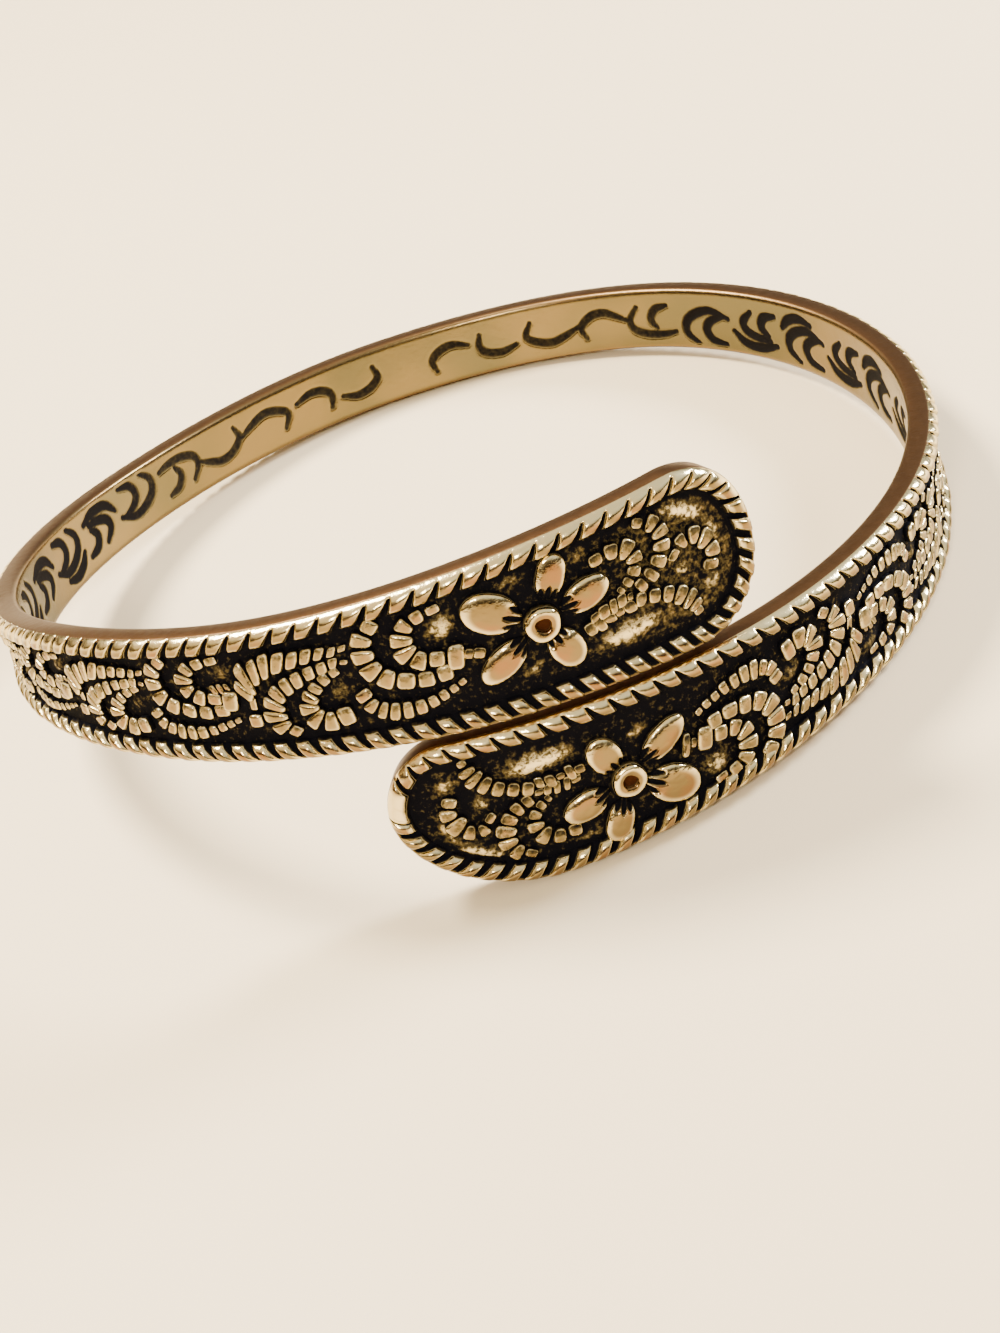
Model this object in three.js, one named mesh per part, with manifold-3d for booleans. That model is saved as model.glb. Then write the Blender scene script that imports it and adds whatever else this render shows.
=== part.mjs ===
// Cuff bracelet: one springy band of cast brass whose rounded ends pass each other at the front.
// Millimetres, +Z up. The band is worked out with its back level, then turned as it rests on a table.

import * as THREE from 'three';
import { mergeVertices } from 'three/addons/utils/BufferGeometryUtils.js';
import Module from 'manifold-3d';

const wasm = await Module();
wasm.setup();

// Hoop: an ellipse seen from above, measured over the flat rims
const hoopWidth = 62;
const hoopDepth = 57.8;
const bandThickness = 1.65;
const endOverlapAngle = 22.8;

// Band: the ends are wide and pass each other one above the other, the back is narrow
const endWidth = 11;
const endGap = 0.38;
const innerEdgeBevel = 0.3;
const outerEdgeBevel = 0.18;

// Rope border that runs round the whole outside face
const ropeWidth = 1.25;
const ropePitch = 1.37;
const ropeRise = 0.28;
const ropeLean = 0.6;
const ropeLeanFade = 3.5;
const outerCrownShare = 0.36;
const innerCrownShare = 0.66;
const innerCrownDrop = 0.07;

// Sunk field between the ropes, and the relief that stands in it
const fieldDepth = 0.38;
const fieldMargin = 0.25;
const reliefRoot = 0.15;
const scrollWidth = 1.15;
const scrollHeight = 0.5;
const fullHeightShare = 0.7;
const scrollCrowding = 1.15;
const ridgeStep = 1.9;
const mergeDistance = 1e-4;
const contactTolerance = 1e-6;

// Flower near each end, and the scrolls that repeat from there to the back
const flowerPlace = 13.25;
const flowerRadius = 4.5;
const flowerAcross = 0.2;
const petalHeight = 0.62;
const bossRadius = 1.03;
const bossHeight = 0.75;
const bossHoleRadius = 0.42;
const bossHoleDepth = 0.4;
const moundHeight = 0.28;
const moundShoulderShare = 0.86;
const moundShoulderLevel = 0.7;
const moundTopShare = 0.36;
const firstRepeat = 17.25;
const scrollPitch = 13.35;
const wideRepeats = 3;
const narrowRepeats = 4;

// Band at angles from the front centre, in degrees: rise of its middle line as a share of the
// rise at the front, width as a share of the end's width
const bandRows = [
  { angle: -25, rise: -1.137, width: 1 },
  { angle: 0, rise: -1, width: 0.92 },
  { angle: 30, rise: -0.812, width: 0.783 },
  { angle: 60, rise: -0.628, width: 0.687 },
  { angle: 90, rise: -0.271, width: 0.533 },
  { angle: 135, rise: 0.062, width: 0.435 },
  { angle: 180, rise: 0, width: 0.432 },
];

// The two ends differ a little, as hand finished castings do. Lengths are shares of the end's width:
// where the tip's middle lies, how long each corner is rounded, and where the pattern sits
const lowEnd = {
  apex: -0.11, farTaper: 0.9, nearTaper: 0.37, roundness: 1.9, patternAlong: 0.04, patternAcross: 0.038,
};
const highEnd = {
  apex: -0.03, farTaper: 0.45, nearTaper: 0.45, roundness: 2.1, patternAlong: 0, patternAcross: 0,
};

// Scrolls of the end, from the tip to the flower: along as a share of the flower's place, across as
// a share of half the field, wide as a share of the scroll's width
const endScrolls = [
  [
    { along: 0.458, across: 0.22, wide: 0.5 },
    { along: 0.383, across: 0.18, wide: 0.6 },
    { along: 0.322, across: 0.33, wide: 0.95 },
    { along: 0.247, across: 0.22, wide: 1 },
    { along: 0.217, across: -0.02, wide: 0.8 },
    { along: 0.247, across: -0.24, wide: 0.7 },
  ],
  [
    { along: 0.526, across: 0.85, wide: 0.5 },
    { along: 0.45, across: 0.74, wide: 0.7 },
    { along: 0.435, across: 0.49, wide: 0.9 },
    { along: 0.466, across: 0.23, wide: 0.95 },
    { along: 0.534, across: 0.02, wide: 0.8 },
    { along: 0.609, across: -0.12, wide: 0.6 },
  ],
  [
    { along: 0.73, across: 0.57, wide: 0.6 },
    { along: 0.647, across: 0.63, wide: 0.8 },
    { along: 0.579, across: 0.5, wide: 0.9 },
    { along: 0.571, across: 0.27, wide: 0.8 },
    { along: 0.624, across: 0.07, wide: 0.7 },
    { along: 0.692, across: -0.11, wide: 0.6 },
  ],
  [
    { along: 0.813, across: -0.28, wide: 0.8 },
    { along: 0.692, across: -0.22, wide: 0.9 },
    { along: 0.564, across: -0.23, wide: 0.75 },
    { along: 0.443, across: -0.32, wide: 0.75 },
    { along: 0.368, across: -0.49, wide: 0.8 },
    { along: 0.33, across: -0.8, wide: 0.45 },
  ],
];

// Scrolls of one repeat: along as a share of the repeat's length
const repeatScrolls = [
  [
    { along: 0.1, across: 0.9, wide: 0.45 },
    { along: 0.19, across: 0.9, wide: 0.8 },
    { along: 0.26, across: 0.69, wide: 1 },
    { along: 0.265, across: 0.36, wide: 1 },
    { along: 0.21, across: 0.12, wide: 0.85 },
    { along: 0.045, across: 0.03, wide: 0.6 },
  ],
  [
    { along: 0.375, across: 0.94, wide: 0.6 },
    { along: 0.43, across: 0.66, wide: 1.05 },
    { along: 0.427, across: 0.24, wide: 1.1 },
    { along: 0.367, across: -0.06, wide: 1 },
    { along: 0.255, across: -0.24, wide: 0.9 },
    { along: 0.06, across: -0.12, wide: 0.6 },
  ],
  [
    { along: 0.495, across: -0.21, wide: 0.8 },
    { along: 0.465, across: -0.48, wide: 0.9 },
    { along: 0.39, across: -0.67, wide: 0.85 },
    { along: 0.27, across: -0.75, wide: 0.7 },
    { along: 0.067, across: -0.51, wide: 0.3 },
  ],
  [
    { along: 0.517, across: 0.64, wide: 0.3 },
    { along: 0.734, across: 0.61, wide: 0.85 },
    { along: 0.854, across: 0.58, wide: 1.2 },
    { along: 0.95, across: 0.4, wide: 1.3 },
    { along: 1.01, across: 0.09, wide: 0.7 },
  ],
  [
    { along: 0.524, across: 0.39, wide: 0.3 },
    { along: 0.734, across: 0.24, wide: 0.75 },
    { along: 0.84, across: 0.045, wide: 0.95 },
    { along: 0.884, across: -0.3, wide: 1.05 },
    { along: 0.86, across: -0.6, wide: 0.85 },
    { along: 0.8, across: -0.75, wide: 0.5 },
  ],
  [
    { along: 0.57, across: 0.24, wide: 0.35 },
    { along: 0.66, across: 0.06, wide: 0.6 },
    { along: 0.72, across: -0.24, wide: 0.85 },
    { along: 0.7, across: -0.52, wide: 1.15 },
    { along: 0.56, across: -0.57, wide: 0.85 },
  ],
];

// Petals round the boss: angle from the tip's direction in degrees, the rest shares of the flower
const petalRows = [
  { angle: 14, reach: 0.69, long: 0.33, wide: 0.205 },
  { angle: 67, reach: 0.53, long: 0.3, wide: 0.17 },
  { angle: 149, reach: 0.67, long: 0.4, wide: 0.255 },
  { angle: 211, reach: 0.64, long: 0.36, wide: 0.19 },
  { angle: 297, reach: 0.42, long: 0.29, wide: 0.21 },
];

// Low worn mounds of the end: along as a share of the flower's place, across as a share of half the
// field, long and wide as shares of the flower
const moundRows = [
  { along: 0.645, across: -0.6, long: 0.58, wide: 0.17, angle: 3 },
  { along: 0.31, across: 0.72, long: 0.42, wide: 0.15, angle: 152 },
];

const radians = THREE.MathUtils.degToRad;
const clamp = THREE.MathUtils.clamp;
const fullTurn = 360;

const mirroredRows = bandRows.slice(0, -1).reverse().map(mirrorRow);
const wholeRows = [...bandRows, ...mirroredRows];

function mirrorRow(row) {
  return { angle: fullTurn - row.angle, rise: -row.rise, width: row.width };
}

// A smooth curve through one column of the rows
function rowValue(column, angle) {
  const lastGap = wholeRows.length - 2;
  const nextRow = wholeRows.findIndex((row) => row.angle >= angle);
  const gap = clamp((nextRow < 0 ? lastGap + 1 : nextRow) - 1, 0, lastGap);
  const start = wholeRows[gap];
  const end = wholeRows[gap + 1];
  const span = end.angle - start.angle;
  const t = (angle - start.angle) / span;
  const startPull = rowSlope(column, gap) * span;
  const endPull = rowSlope(column, gap + 1) * span;
  const endShare = t * t * (3 - 2 * t);
  const between = start[column] * (1 - endShare) + end[column] * endShare;
  return between + startPull * t * (1 - t) * (1 - t) - endPull * t * t * (1 - t);
}

function rowSlope(column, index) {
  const row = wholeRows[index];
  const before = wholeRows[Math.max(index - 1, 0)];
  const after = wholeRows[Math.min(index + 1, wholeRows.length - 1)];
  const spanBefore = row.angle - before.angle;
  const spanAfter = after.angle - row.angle;
  if (spanBefore === 0) return (after[column] - row[column]) / spanAfter;
  if (spanAfter === 0) return (row[column] - before[column]) / spanBefore;
  const slopeBefore = (row[column] - before[column]) / spanBefore;
  const slopeAfter = (after[column] - row[column]) / spanAfter;
  return (spanBefore * slopeAfter + spanAfter * slopeBefore) / (spanBefore + spanAfter);
}

// The front of the hoop is at -Y; angles go round by +X
function hoopPoint(angle) {
  const turn = radians(angle);
  return new THREE.Vector3((hoopWidth / 2) * Math.sin(turn), (-hoopDepth / 2) * Math.cos(turn), 0);
}

function hoopNormal(angle) {
  const turn = radians(angle);
  return new THREE.Vector3(hoopDepth * Math.sin(turn), -hoopWidth * Math.cos(turn), 0).normalize();
}

// Length round the hoop from the low end's tip, kept at even angles
const lowTipAngle = -endOverlapAngle;
const highTipAngle = fullTurn + endOverlapAngle;
const lengthSamples = 800;
const sampleAngle = (highTipAngle - lowTipAngle) / lengthSamples;
const lengthTable = [0];
for (let i = 1; i <= lengthSamples; i += 1) {
  const from = hoopPoint(lowTipAngle + (i - 1) * sampleAngle);
  const to = hoopPoint(lowTipAngle + i * sampleAngle);
  lengthTable.push(lengthTable[i - 1] + from.distanceTo(to));
}
const bandLength = lengthTable[lengthSamples];

function tableShare(table, value) {
  let low = 0;
  let high = table.length - 1;
  while (high - low > 1) {
    const middle = Math.floor((low + high) / 2);
    if (table[middle] > value) high = middle;
    else low = middle;
  }
  const share = (value - table[low]) / (table[high] - table[low]);
  return low + clamp(share, 0, 1);
}

function angleAt(along) {
  return lowTipAngle + tableShare(lengthTable, along) * sampleAngle;
}

const frontHalfWidth = (rowValue('width', 0) * endWidth) / 2;
const frontRise = frontHalfWidth + endGap / 2;

function halfWidthAt(along) {
  return (rowValue('width', angleAt(along)) * endWidth) / 2;
}

// A place on the band: along from the low tip, across from the middle line (up is positive),
// height from the inside face
function onBand(along, across, height) {
  const angle = angleAt(along);
  const point = hoopPoint(angle);
  point.addScaledVector(hoopNormal(angle), height - bandThickness);
  point.z = rowValue('rise', angle) * frontRise + across;
  return point;
}

// The same from one end's own tip, with across counted away from the other end
function onEnd(end, along, across, height) {
  if (end === lowEnd) return onBand(along, -across, height);
  return onBand(bandLength - along, across, height);
}

// Outline of the band as rolled out flat, upper or lower edge
function edgeAcross(along, upper) {
  const end = along < bandLength / 2 ? lowEnd : highEnd;
  const fromTip = Math.min(along, bandLength - along);
  const far = (end === highEnd) === upper;
  const taper = (far ? end.farTaper : end.nearTaper) * endWidth;
  const apex = end.apex * endWidth;
  const left = 1 - Math.min(fromTip / taper, 1);
  const share = (1 - left ** end.roundness) ** (1 / end.roundness);
  const halfWidth = halfWidthAt(along);
  const across = far ? apex + (halfWidth - apex) * share : apex - (halfWidth + apex) * share;
  return end === highEnd ? across : -across;
}

function edgePath(upper) {
  const samples = 2400;
  const points = [];
  for (let i = 0; i <= samples; i += 1) {
    const along = (bandLength * (1 - Math.cos((Math.PI * i) / samples))) / 2;
    points.push(new THREE.Vector2(along, edgeAcross(along, upper)));
  }
  const lengths = [0];
  for (let i = 1; i <= samples; i += 1) {
    lengths.push(lengths[i - 1] + points[i].distanceTo(points[i - 1]));
  }
  return { points, lengths, total: lengths[samples], upper };
}

// A point of the outline moved in from the edge. At a tip the way in is straight along the band
function edgePoint(path, distance, inset) {
  const place = tableShare(path.lengths, clamp(distance, 0, path.total));
  const first = Math.min(Math.floor(place), path.points.length - 2);
  const point = path.points[first].clone().lerp(path.points[first + 1], place - first);
  if (distance <= 0) return point.add(new THREE.Vector2(inset, 0));
  if (distance >= path.total) return point.add(new THREE.Vector2(-inset, 0));
  const along = path.points[first + 1].clone().sub(path.points[first]).normalize();
  const side = path.upper ? 1 : -1;
  return point.add(new THREE.Vector2(along.y * side, -along.x * side).multiplyScalar(inset));
}

const upperPath = edgePath(true);
const lowerPath = edgePath(false);
const meanPathLength = (upperPath.total + lowerPath.total) / 2;
const ropeBeads = 2 * Math.round(meanPathLength / ropePitch / 2);

// One closed ring round the band: up the upper edge from the low tip, back along the lower edge
function ring(step, inset, height, leanShare, offset) {
  const points = [];
  const pathRing = (path, from, to, by) => {
    for (let i = from; i !== to; i += by) {
      const bead = i + offset;
      const place = (path.total * bead) / ropeBeads;
      const fade = clamp(Math.min(place, path.total - place) / ropeLeanFade, 0, 1);
      const turn = clamp((place - path.total / 2) / ropeLeanFade, -1, 1);
      const lean = ropeLean * leanShare * fade * turn;
      const flat = edgePoint(path, place + lean, inset);
      points.push(onBand(flat.x, flat.y, height));
    }
  };
  if (offset === 0) {
    pathRing(upperPath, 0, ropeBeads, step);
    pathRing(lowerPath, ropeBeads, 0, -step);
  } else {
    pathRing(upperPath, 0, ropeBeads, 1);
    pathRing(lowerPath, ropeBeads - 1, -1, -1);
  }
  return points;
}

// Triangles are collected as points and merged at the end
function solidFrom(triangles) {
  const geometry = new THREE.BufferGeometry().setFromPoints(triangles);
  const merged = mergeVertices(geometry, mergeDistance);
  const vertProperties = new Float32Array(merged.attributes.position.array);
  const triVerts = new Uint32Array(merged.index.array);
  return new wasm.Manifold(new wasm.Mesh({ numProp: 3, vertProperties, triVerts }));
}

function signedVolume(triangles) {
  let sum = 0;
  for (let i = 0; i < triangles.length; i += 3) {
    const cross = triangles[i + 1].clone().cross(triangles[i + 2]);
    sum += triangles[i].dot(cross) / 6;
  }
  return sum;
}

function facingOut(triangles) {
  if (signedVolume(triangles) > 0) return triangles;
  return triangles.reverse();
}

function addQuad(triangles, a, b, c, d) {
  triangles.push(a, b, c, a, c, d);
}

// Two rings joined, where the outer one may have several points for each of the inner one's
function joinRings(triangles, coarse, fine, reversed) {
  const share = fine.length / coarse.length;
  const add = (a, b, c) => {
    if (reversed) triangles.push(a, c, b);
    else triangles.push(a, b, c);
  };
  coarse.forEach((point, i) => {
    const next = coarse[(i + 1) % coarse.length];
    const first = i * share;
    const middle = Math.floor(share / 2);
    for (let k = 0; k < share; k += 1) {
      const corner = k < middle ? point : next;
      add(corner, fine[(first + k + 1) % fine.length], fine[first + k]);
    }
    add(point, next, fine[(first + middle) % fine.length]);
  });
}

// The flat between the upper and the lower half of a ring, facing the way that the band's section asks
function fillRing(triangles, points, reversed) {
  const half = points.length / 2;
  const add = (a, b, c) => {
    if (reversed) triangles.push(a, c, b);
    else triangles.push(a, b, c);
  };
  for (let i = 0; i < half; i += 1) {
    const lower = points[(points.length - i) % points.length];
    const nextLower = points[points.length - i - 1];
    if (i > 0) add(points[i], lower, nextLower);
    if (i < half - 1) add(points[i], nextLower, points[i + 1]);
  }
}

// Beads of the rope: a low seam across the rope between two beads, and two crown points on each bead
function addRope(triangles, outerFoot, seams, innerFoot, outerCrowns, innerCrowns) {
  for (let i = 0; i < seams.length; i += 1) {
    const n = (i + 1) % seams.length;
    const outerCrown = outerCrowns[i];
    const innerCrown = innerCrowns[i];
    triangles.push(outerFoot[i], outerFoot[n], outerCrown);
    triangles.push(outerFoot[i], outerCrown, seams[i]);
    triangles.push(outerFoot[n], seams[n], outerCrown);
    triangles.push(seams[i], outerCrown, innerCrown);
    triangles.push(outerCrown, seams[n], innerCrown);
    triangles.push(seams[i], innerCrown, innerFoot[i]);
    triangles.push(seams[n], innerFoot[n], innerCrown);
    triangles.push(innerFoot[i], innerCrown, innerFoot[n]);
  }
}

const fieldHeight = bandThickness - fieldDepth;
const ropeCrest = bandThickness + ropeRise;

function bandSolid() {
  const innerRing = ring(2, innerEdgeBevel, 0, 0, 0);
  const wallRing = ring(2, 0, innerEdgeBevel, 0, 0);
  const rimRing = ring(2, 0, bandThickness - outerEdgeBevel, 0, 0);
  const outerFoot = ring(1, outerEdgeBevel, bandThickness, 0.5, 0);
  const seams = ring(1, ropeWidth / 2, bandThickness, 0, 0);
  const innerFoot = ring(1, ropeWidth, fieldHeight, -0.5, 0);
  const fieldRing = ring(2, ropeWidth + fieldMargin, fieldHeight, -0.5, 0);
  const outerCrowns = ring(1, ropeWidth * outerCrownShare, ropeCrest, 0.5 - outerCrownShare, 0.5);
  const innerCrownHeight = ropeCrest - innerCrownDrop;
  const innerCrowns = ring(1, ropeWidth * innerCrownShare, innerCrownHeight, 0.5 - innerCrownShare, 0.5);
  const triangles = [];
  fillRing(triangles, innerRing, false);
  joinRings(triangles, innerRing, wallRing);
  joinRings(triangles, wallRing, rimRing);
  joinRings(triangles, rimRing, outerFoot);
  addRope(triangles, outerFoot, seams, innerFoot, outerCrowns, innerCrowns);
  joinRings(triangles, fieldRing, innerFoot, true);
  fillRing(triangles, fieldRing, true);
  return solidFrom(facingOut(triangles));
}

function fieldHalfAt(end, along) {
  const fromLow = end === lowEnd ? along : bandLength - along;
  return halfWidthAt(fromLow) - ropeWidth;
}

const frontFieldHalf = frontHalfWidth - ropeWidth;
const reliefFoot = fieldHeight - reliefRoot;

// A scroll: a ridge with a sharp crest along a smooth curve
function scrollSolid(end, rows, start, length, widthShare) {
  const shift = end.patternAcross * endWidth;
  const knots = rows.map((row) => {
    const along = start + row.along * length;
    const across = row.across * fieldHalfAt(end, along) + shift * widthShare;
    return new THREE.Vector3(along, across, (row.wide * scrollWidth * widthShare) / 2);
  });
  const curve = new THREE.CatmullRomCurve3(knots, false, 'centripetal');
  const steps = Math.max(3, Math.round(curve.getLength() / ridgeStep));
  const sections = [];
  for (let i = 0; i <= steps; i += 1) {
    const point = curve.getPoint(i / steps);
    const ahead = curve.getTangent(i / steps);
    const side = new THREE.Vector2(-ahead.y, ahead.x).normalize().multiplyScalar(point.z);
    const fullness = Math.min(1, (2 * point.z) / (scrollWidth * fullHeightShare));
    const crest = fieldHeight + scrollHeight * fullness;
    sections.push([
      onEnd(end, point.x - side.x, point.y - side.y, reliefFoot),
      onEnd(end, point.x + side.x, point.y + side.y, reliefFoot),
      onEnd(end, point.x, point.y, crest),
    ]);
  }
  return loftSolid(sections);
}

function loftSolid(sections) {
  const triangles = [];
  for (let i = 0; i + 1 < sections.length; i += 1) {
    const corners = sections[i].length;
    for (let k = 0; k < corners; k += 1) {
      const n = (k + 1) % corners;
      addQuad(triangles, sections[i][k], sections[i][n], sections[i + 1][n], sections[i + 1][k]);
    }
  }
  const first = sections[0];
  const last = sections[sections.length - 1];
  for (let k = 1; k + 1 < first.length; k += 1) {
    triangles.push(first[0], first[k + 1], first[k]);
    triangles.push(last[0], last[k], last[k + 1]);
  }
  return solidFrom(facingOut(triangles));
}

// A rounded oval mound: a foot in the metal, a shoulder ring and a top
function moundSolid(end, centre, angle, long, wide, height) {
  const sides = 8;
  const turn = radians(angle);
  const oval = (share, level, point) => {
    const forward = point.x * long * share;
    const sideways = point.y * wide * share;
    const along = centre.x - forward * Math.cos(turn) + sideways * Math.sin(turn);
    const across = centre.y + forward * Math.sin(turn) + sideways * Math.cos(turn);
    return onEnd(end, along, across, level);
  };
  const sections = [
    [1, reliefFoot],
    [moundShoulderShare, fieldHeight + height * moundShoulderLevel],
    [moundTopShare, fieldHeight + height],
  ];
  const rings = sections.map(([share, level]) => {
    const points = [];
    for (let k = 0; k < sides; k += 1) {
      const place = radians((fullTurn / sides) * k);
      points.push(oval(share, level, new THREE.Vector2(Math.cos(place), Math.sin(place))));
    }
    return points;
  });
  return loftSolid(rings);
}

function flowerCentre(end) {
  return new THREE.Vector2(
    flowerPlace + end.patternAlong * endWidth,
    flowerAcross + end.patternAcross * endWidth,
  );
}

function flowerSolids(end) {
  const centre = flowerCentre(end);
  return petalRows.map((row) => {
    const turn = radians(row.angle);
    const reach = row.reach * flowerRadius;
    const along = centre.x - reach * Math.cos(turn);
    const across = centre.y + reach * Math.sin(turn);
    const middle = new THREE.Vector2(along, across);
    return moundSolid(end, middle, row.angle, row.long * flowerRadius, row.wide * flowerRadius, petalHeight);
  });
}

function roundSolid(end, radius, foot, top) {
  const sides = 12;
  const centre = flowerCentre(end);
  const rings = [foot, top].map((level) => {
    const points = [];
    for (let k = 0; k < sides; k += 1) {
      const turn = radians((fullTurn / sides) * k);
      const along = centre.x + radius * Math.cos(turn);
      const across = centre.y + radius * Math.sin(turn);
      points.push(onEnd(end, along, across, level));
    }
    return points;
  });
  return loftSolid(rings);
}

function endSolids(end) {
  const start = end.patternAlong * endWidth;
  const scrolls = endScrolls.map((rows) => scrollSolid(end, rows, start, flowerPlace, 1));
  const mounds = moundRows.map((row) => {
    const along = start + row.along * flowerPlace;
    const across = row.across * fieldHalfAt(end, along) + end.patternAcross * endWidth;
    const centre = new THREE.Vector2(along, across);
    return moundSolid(end, centre, row.angle, row.long * flowerRadius, row.wide * flowerRadius, moundHeight);
  });
  return [...scrolls, ...mounds];
}

// The wide stretch keeps the full pitch; the narrow stretch shares out what is left to the back
function repeatSolids(end) {
  const solids = [];
  const wideEnd = firstRepeat + end.patternAlong * endWidth + wideRepeats * scrollPitch;
  const narrowPitch = (bandLength / 2 - wideEnd) / narrowRepeats;
  for (let i = 0; i < wideRepeats + narrowRepeats; i += 1) {
    const length = i < wideRepeats ? scrollPitch : narrowPitch;
    const start = wideEnd + (i - wideRepeats) * length;
    const fieldHalf = fieldHalfAt(end, start + length / 2);
    const widthShare = Math.min(1, (scrollCrowding * fieldHalf) / frontFieldHalf);
    solids.push(...repeatScrolls.map((rows) => scrollSolid(end, rows, start, length, widthShare)));
  }
  return solids;
}

function cuffSolid() {
  let solid = bandSolid();
  for (const end of [lowEnd, highEnd]) {
    for (const piece of [...endSolids(end), ...flowerSolids(end), ...repeatSolids(end)]) {
      solid = solid.add(piece);
    }
    solid = solid.add(roundSolid(end, bossRadius, reliefFoot, fieldHeight + bossHeight));
    const holeFoot = fieldHeight + bossHeight - bossHoleDepth;
    solid = solid.subtract(roundSolid(end, bossHoleRadius, holeFoot, holeFoot + 2 * bossHoleDepth));
  }
  return solid;
}

function geometryOf(solid) {
  const mesh = solid.getMesh();
  const geometry = new THREE.BufferGeometry();
  geometry.setAttribute('position', new THREE.BufferAttribute(new Float32Array(mesh.vertProperties), 3));
  geometry.setIndex(new THREE.BufferAttribute(new Uint32Array(mesh.triVerts), 1));
  return geometry;
}

function cornersOf(geometry) {
  const position = geometry.attributes.position;
  const points = [];
  for (let i = 0; i < position.count; i += 1) {
    points.push(new THREE.Vector3().fromBufferAttribute(position, i));
  }
  return points;
}

function centreOfMass(geometry, points) {
  const index = geometry.index;
  const sum = new THREE.Vector3();
  let volume = 0;
  for (let i = 0; i < index.count; i += 3) {
    const [a, b, c] = [0, 1, 2].map((k) => points[index.getX(i + k)]);
    const part = a.dot(b.clone().cross(c)) / 6;
    volume += part;
    sum.addScaledVector(a.clone().add(b).add(c), part / 4);
  }
  return sum.divideScalar(volume);
}

function holds(centre, a, b, c) {
  const side = (p, q) => (q.x - p.x) * (centre.y - p.y) - (q.y - p.y) * (centre.x - p.x);
  const sides = [side(a, b), side(b, c), side(c, a)];
  return sides.every((value) => value >= 0) || sides.every((value) => value <= 0);
}

// The table that the band rests on: three lowest points with the centre of mass above them. It
// starts from points outside the band and takes in the point that is furthest below, until none is
function tablePlane(points, centre) {
  const far = 10 * hoopWidth;
  let contacts = [0, 120, 240].map((angle) => {
    const place = hoopPoint(angle).setLength(far);
    return place.setZ(far);
  });
  for (;;) {
    const plane = new THREE.Plane().setFromCoplanarPoints(...contacts);
    if (plane.normal.z < 0) plane.negate();
    let lowest = points[0];
    for (const point of points) {
      if (plane.distanceToPoint(point) < plane.distanceToPoint(lowest)) lowest = point;
    }
    if (plane.distanceToPoint(lowest) > -contactTolerance) return plane;
    const [a, b, c] = contacts;
    contacts = [[lowest, a, b], [lowest, b, c], [lowest, c, a]].find((three) => holds(centre, ...three));
  }
}

const brass = new THREE.MeshStandardMaterial({ color: 0xc2a878, roughness: 0.28, metalness: 1 });

function restingCuff() {
  const geometry = geometryOf(cuffSolid());
  const points = cornersOf(geometry);
  const plane = tablePlane(points, centreOfMass(geometry, points));
  const cuff = new THREE.Mesh(geometry, brass);
  cuff.name = 'cuff';
  cuff.quaternion.setFromUnitVectors(plane.normal, new THREE.Vector3(0, 0, 1));
  const turned = points.map((point) => point.applyQuaternion(cuff.quaternion));
  const box = new THREE.Box3().setFromPoints(turned);
  const middle = box.getCenter(new THREE.Vector3());
  cuff.position.set(-middle.x, -middle.y, -box.min.z);
  return cuff;
}

const bracelet = new THREE.Group();
bracelet.add(restingCuff());

export default bracelet;
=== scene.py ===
import math
import bpy
import numpy as np
from mathutils import Matrix, Vector


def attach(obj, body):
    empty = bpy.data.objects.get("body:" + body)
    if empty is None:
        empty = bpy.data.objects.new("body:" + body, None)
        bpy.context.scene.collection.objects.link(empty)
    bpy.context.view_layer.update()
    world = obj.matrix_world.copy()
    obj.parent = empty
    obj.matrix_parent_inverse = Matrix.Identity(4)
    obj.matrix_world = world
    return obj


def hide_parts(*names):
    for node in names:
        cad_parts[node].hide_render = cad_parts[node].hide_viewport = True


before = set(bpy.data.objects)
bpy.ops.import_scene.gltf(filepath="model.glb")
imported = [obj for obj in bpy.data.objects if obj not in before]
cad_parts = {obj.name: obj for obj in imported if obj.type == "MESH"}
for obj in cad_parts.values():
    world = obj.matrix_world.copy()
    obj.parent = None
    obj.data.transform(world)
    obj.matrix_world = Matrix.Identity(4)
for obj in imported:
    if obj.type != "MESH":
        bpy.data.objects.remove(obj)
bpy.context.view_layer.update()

millimetre = 0.001

# Sizes of the cuff in millimetres, the same ones that its solid is built from
cuff = {
    "hoopWidth": 62.0,
    "hoopDepth": 57.8,
    "thickness": 1.65,
    "overlapAngle": 22.8,
    "endWidth": 11.0,
    "endGap": 0.38,
    "ropeWidth": 1.25,
    "ropePitch": 1.37,
    "fieldDepth": 0.38,
    "firstRepeat": 17.25,
    "scrollPitch": 13.35,
    "wideRepeats": 3,
    "narrowRepeats": 4,
    "restTilt": 8.447,  # degrees that the hoop leans as it lies on the floor
    "restHeading": 162.329,  # degrees, direction of the line that it leans about
    "restShift": (0.0002, 0.5529, 6.4276),
}
fieldHeight = cuff["thickness"] - cuff["fieldDepth"]  # the sunk field, from the inside face

# Angle from the front centre in degrees, rise as a share of the front's and width of the end's
bandRows = [
    (-25, -1.137, 1.0),
    (0, -1.0, 0.92),
    (30, -0.812, 0.783),
    (60, -0.628, 0.687),
    (90, -0.271, 0.533),
    (135, 0.062, 0.435),
    (180, 0.0, 0.432),
]
stepsRound = 1600

# Rounding of the two tips, as shares of the end's width
lowTip = {"apex": -0.11, "farTaper": 0.9, "nearTaper": 0.37, "roundness": 1.9}
highTip = {"apex": -0.03, "farTaper": 0.45, "nearTaper": 0.45, "roundness": 2.1}

# How the ornament sits on each end: moved along and across and leaned about the flower, a move
# that fades away from the tip. Patina is how olive the end's field is
endPatterns = {
    "low": {"along": 0.5, "across": 0.42, "lean": 0.115, "fade": (19.0, 27.0), "patina": 0.03},
    "high": {"along": 0.0, "across": 0.0, "lean": 0.0, "fade": (20.0, 31.0), "patina": 0.21},
}
staysAlong, staysAcross = 0.3, 0.15  # shares of the move that are left after it has faded
flowerAt = (13.27, 0.2)


def smooth(value, start, end):
    share = np.clip((value - start) / (end - start), 0, 1)
    return share * share * (3 - 2 * share)


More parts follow.
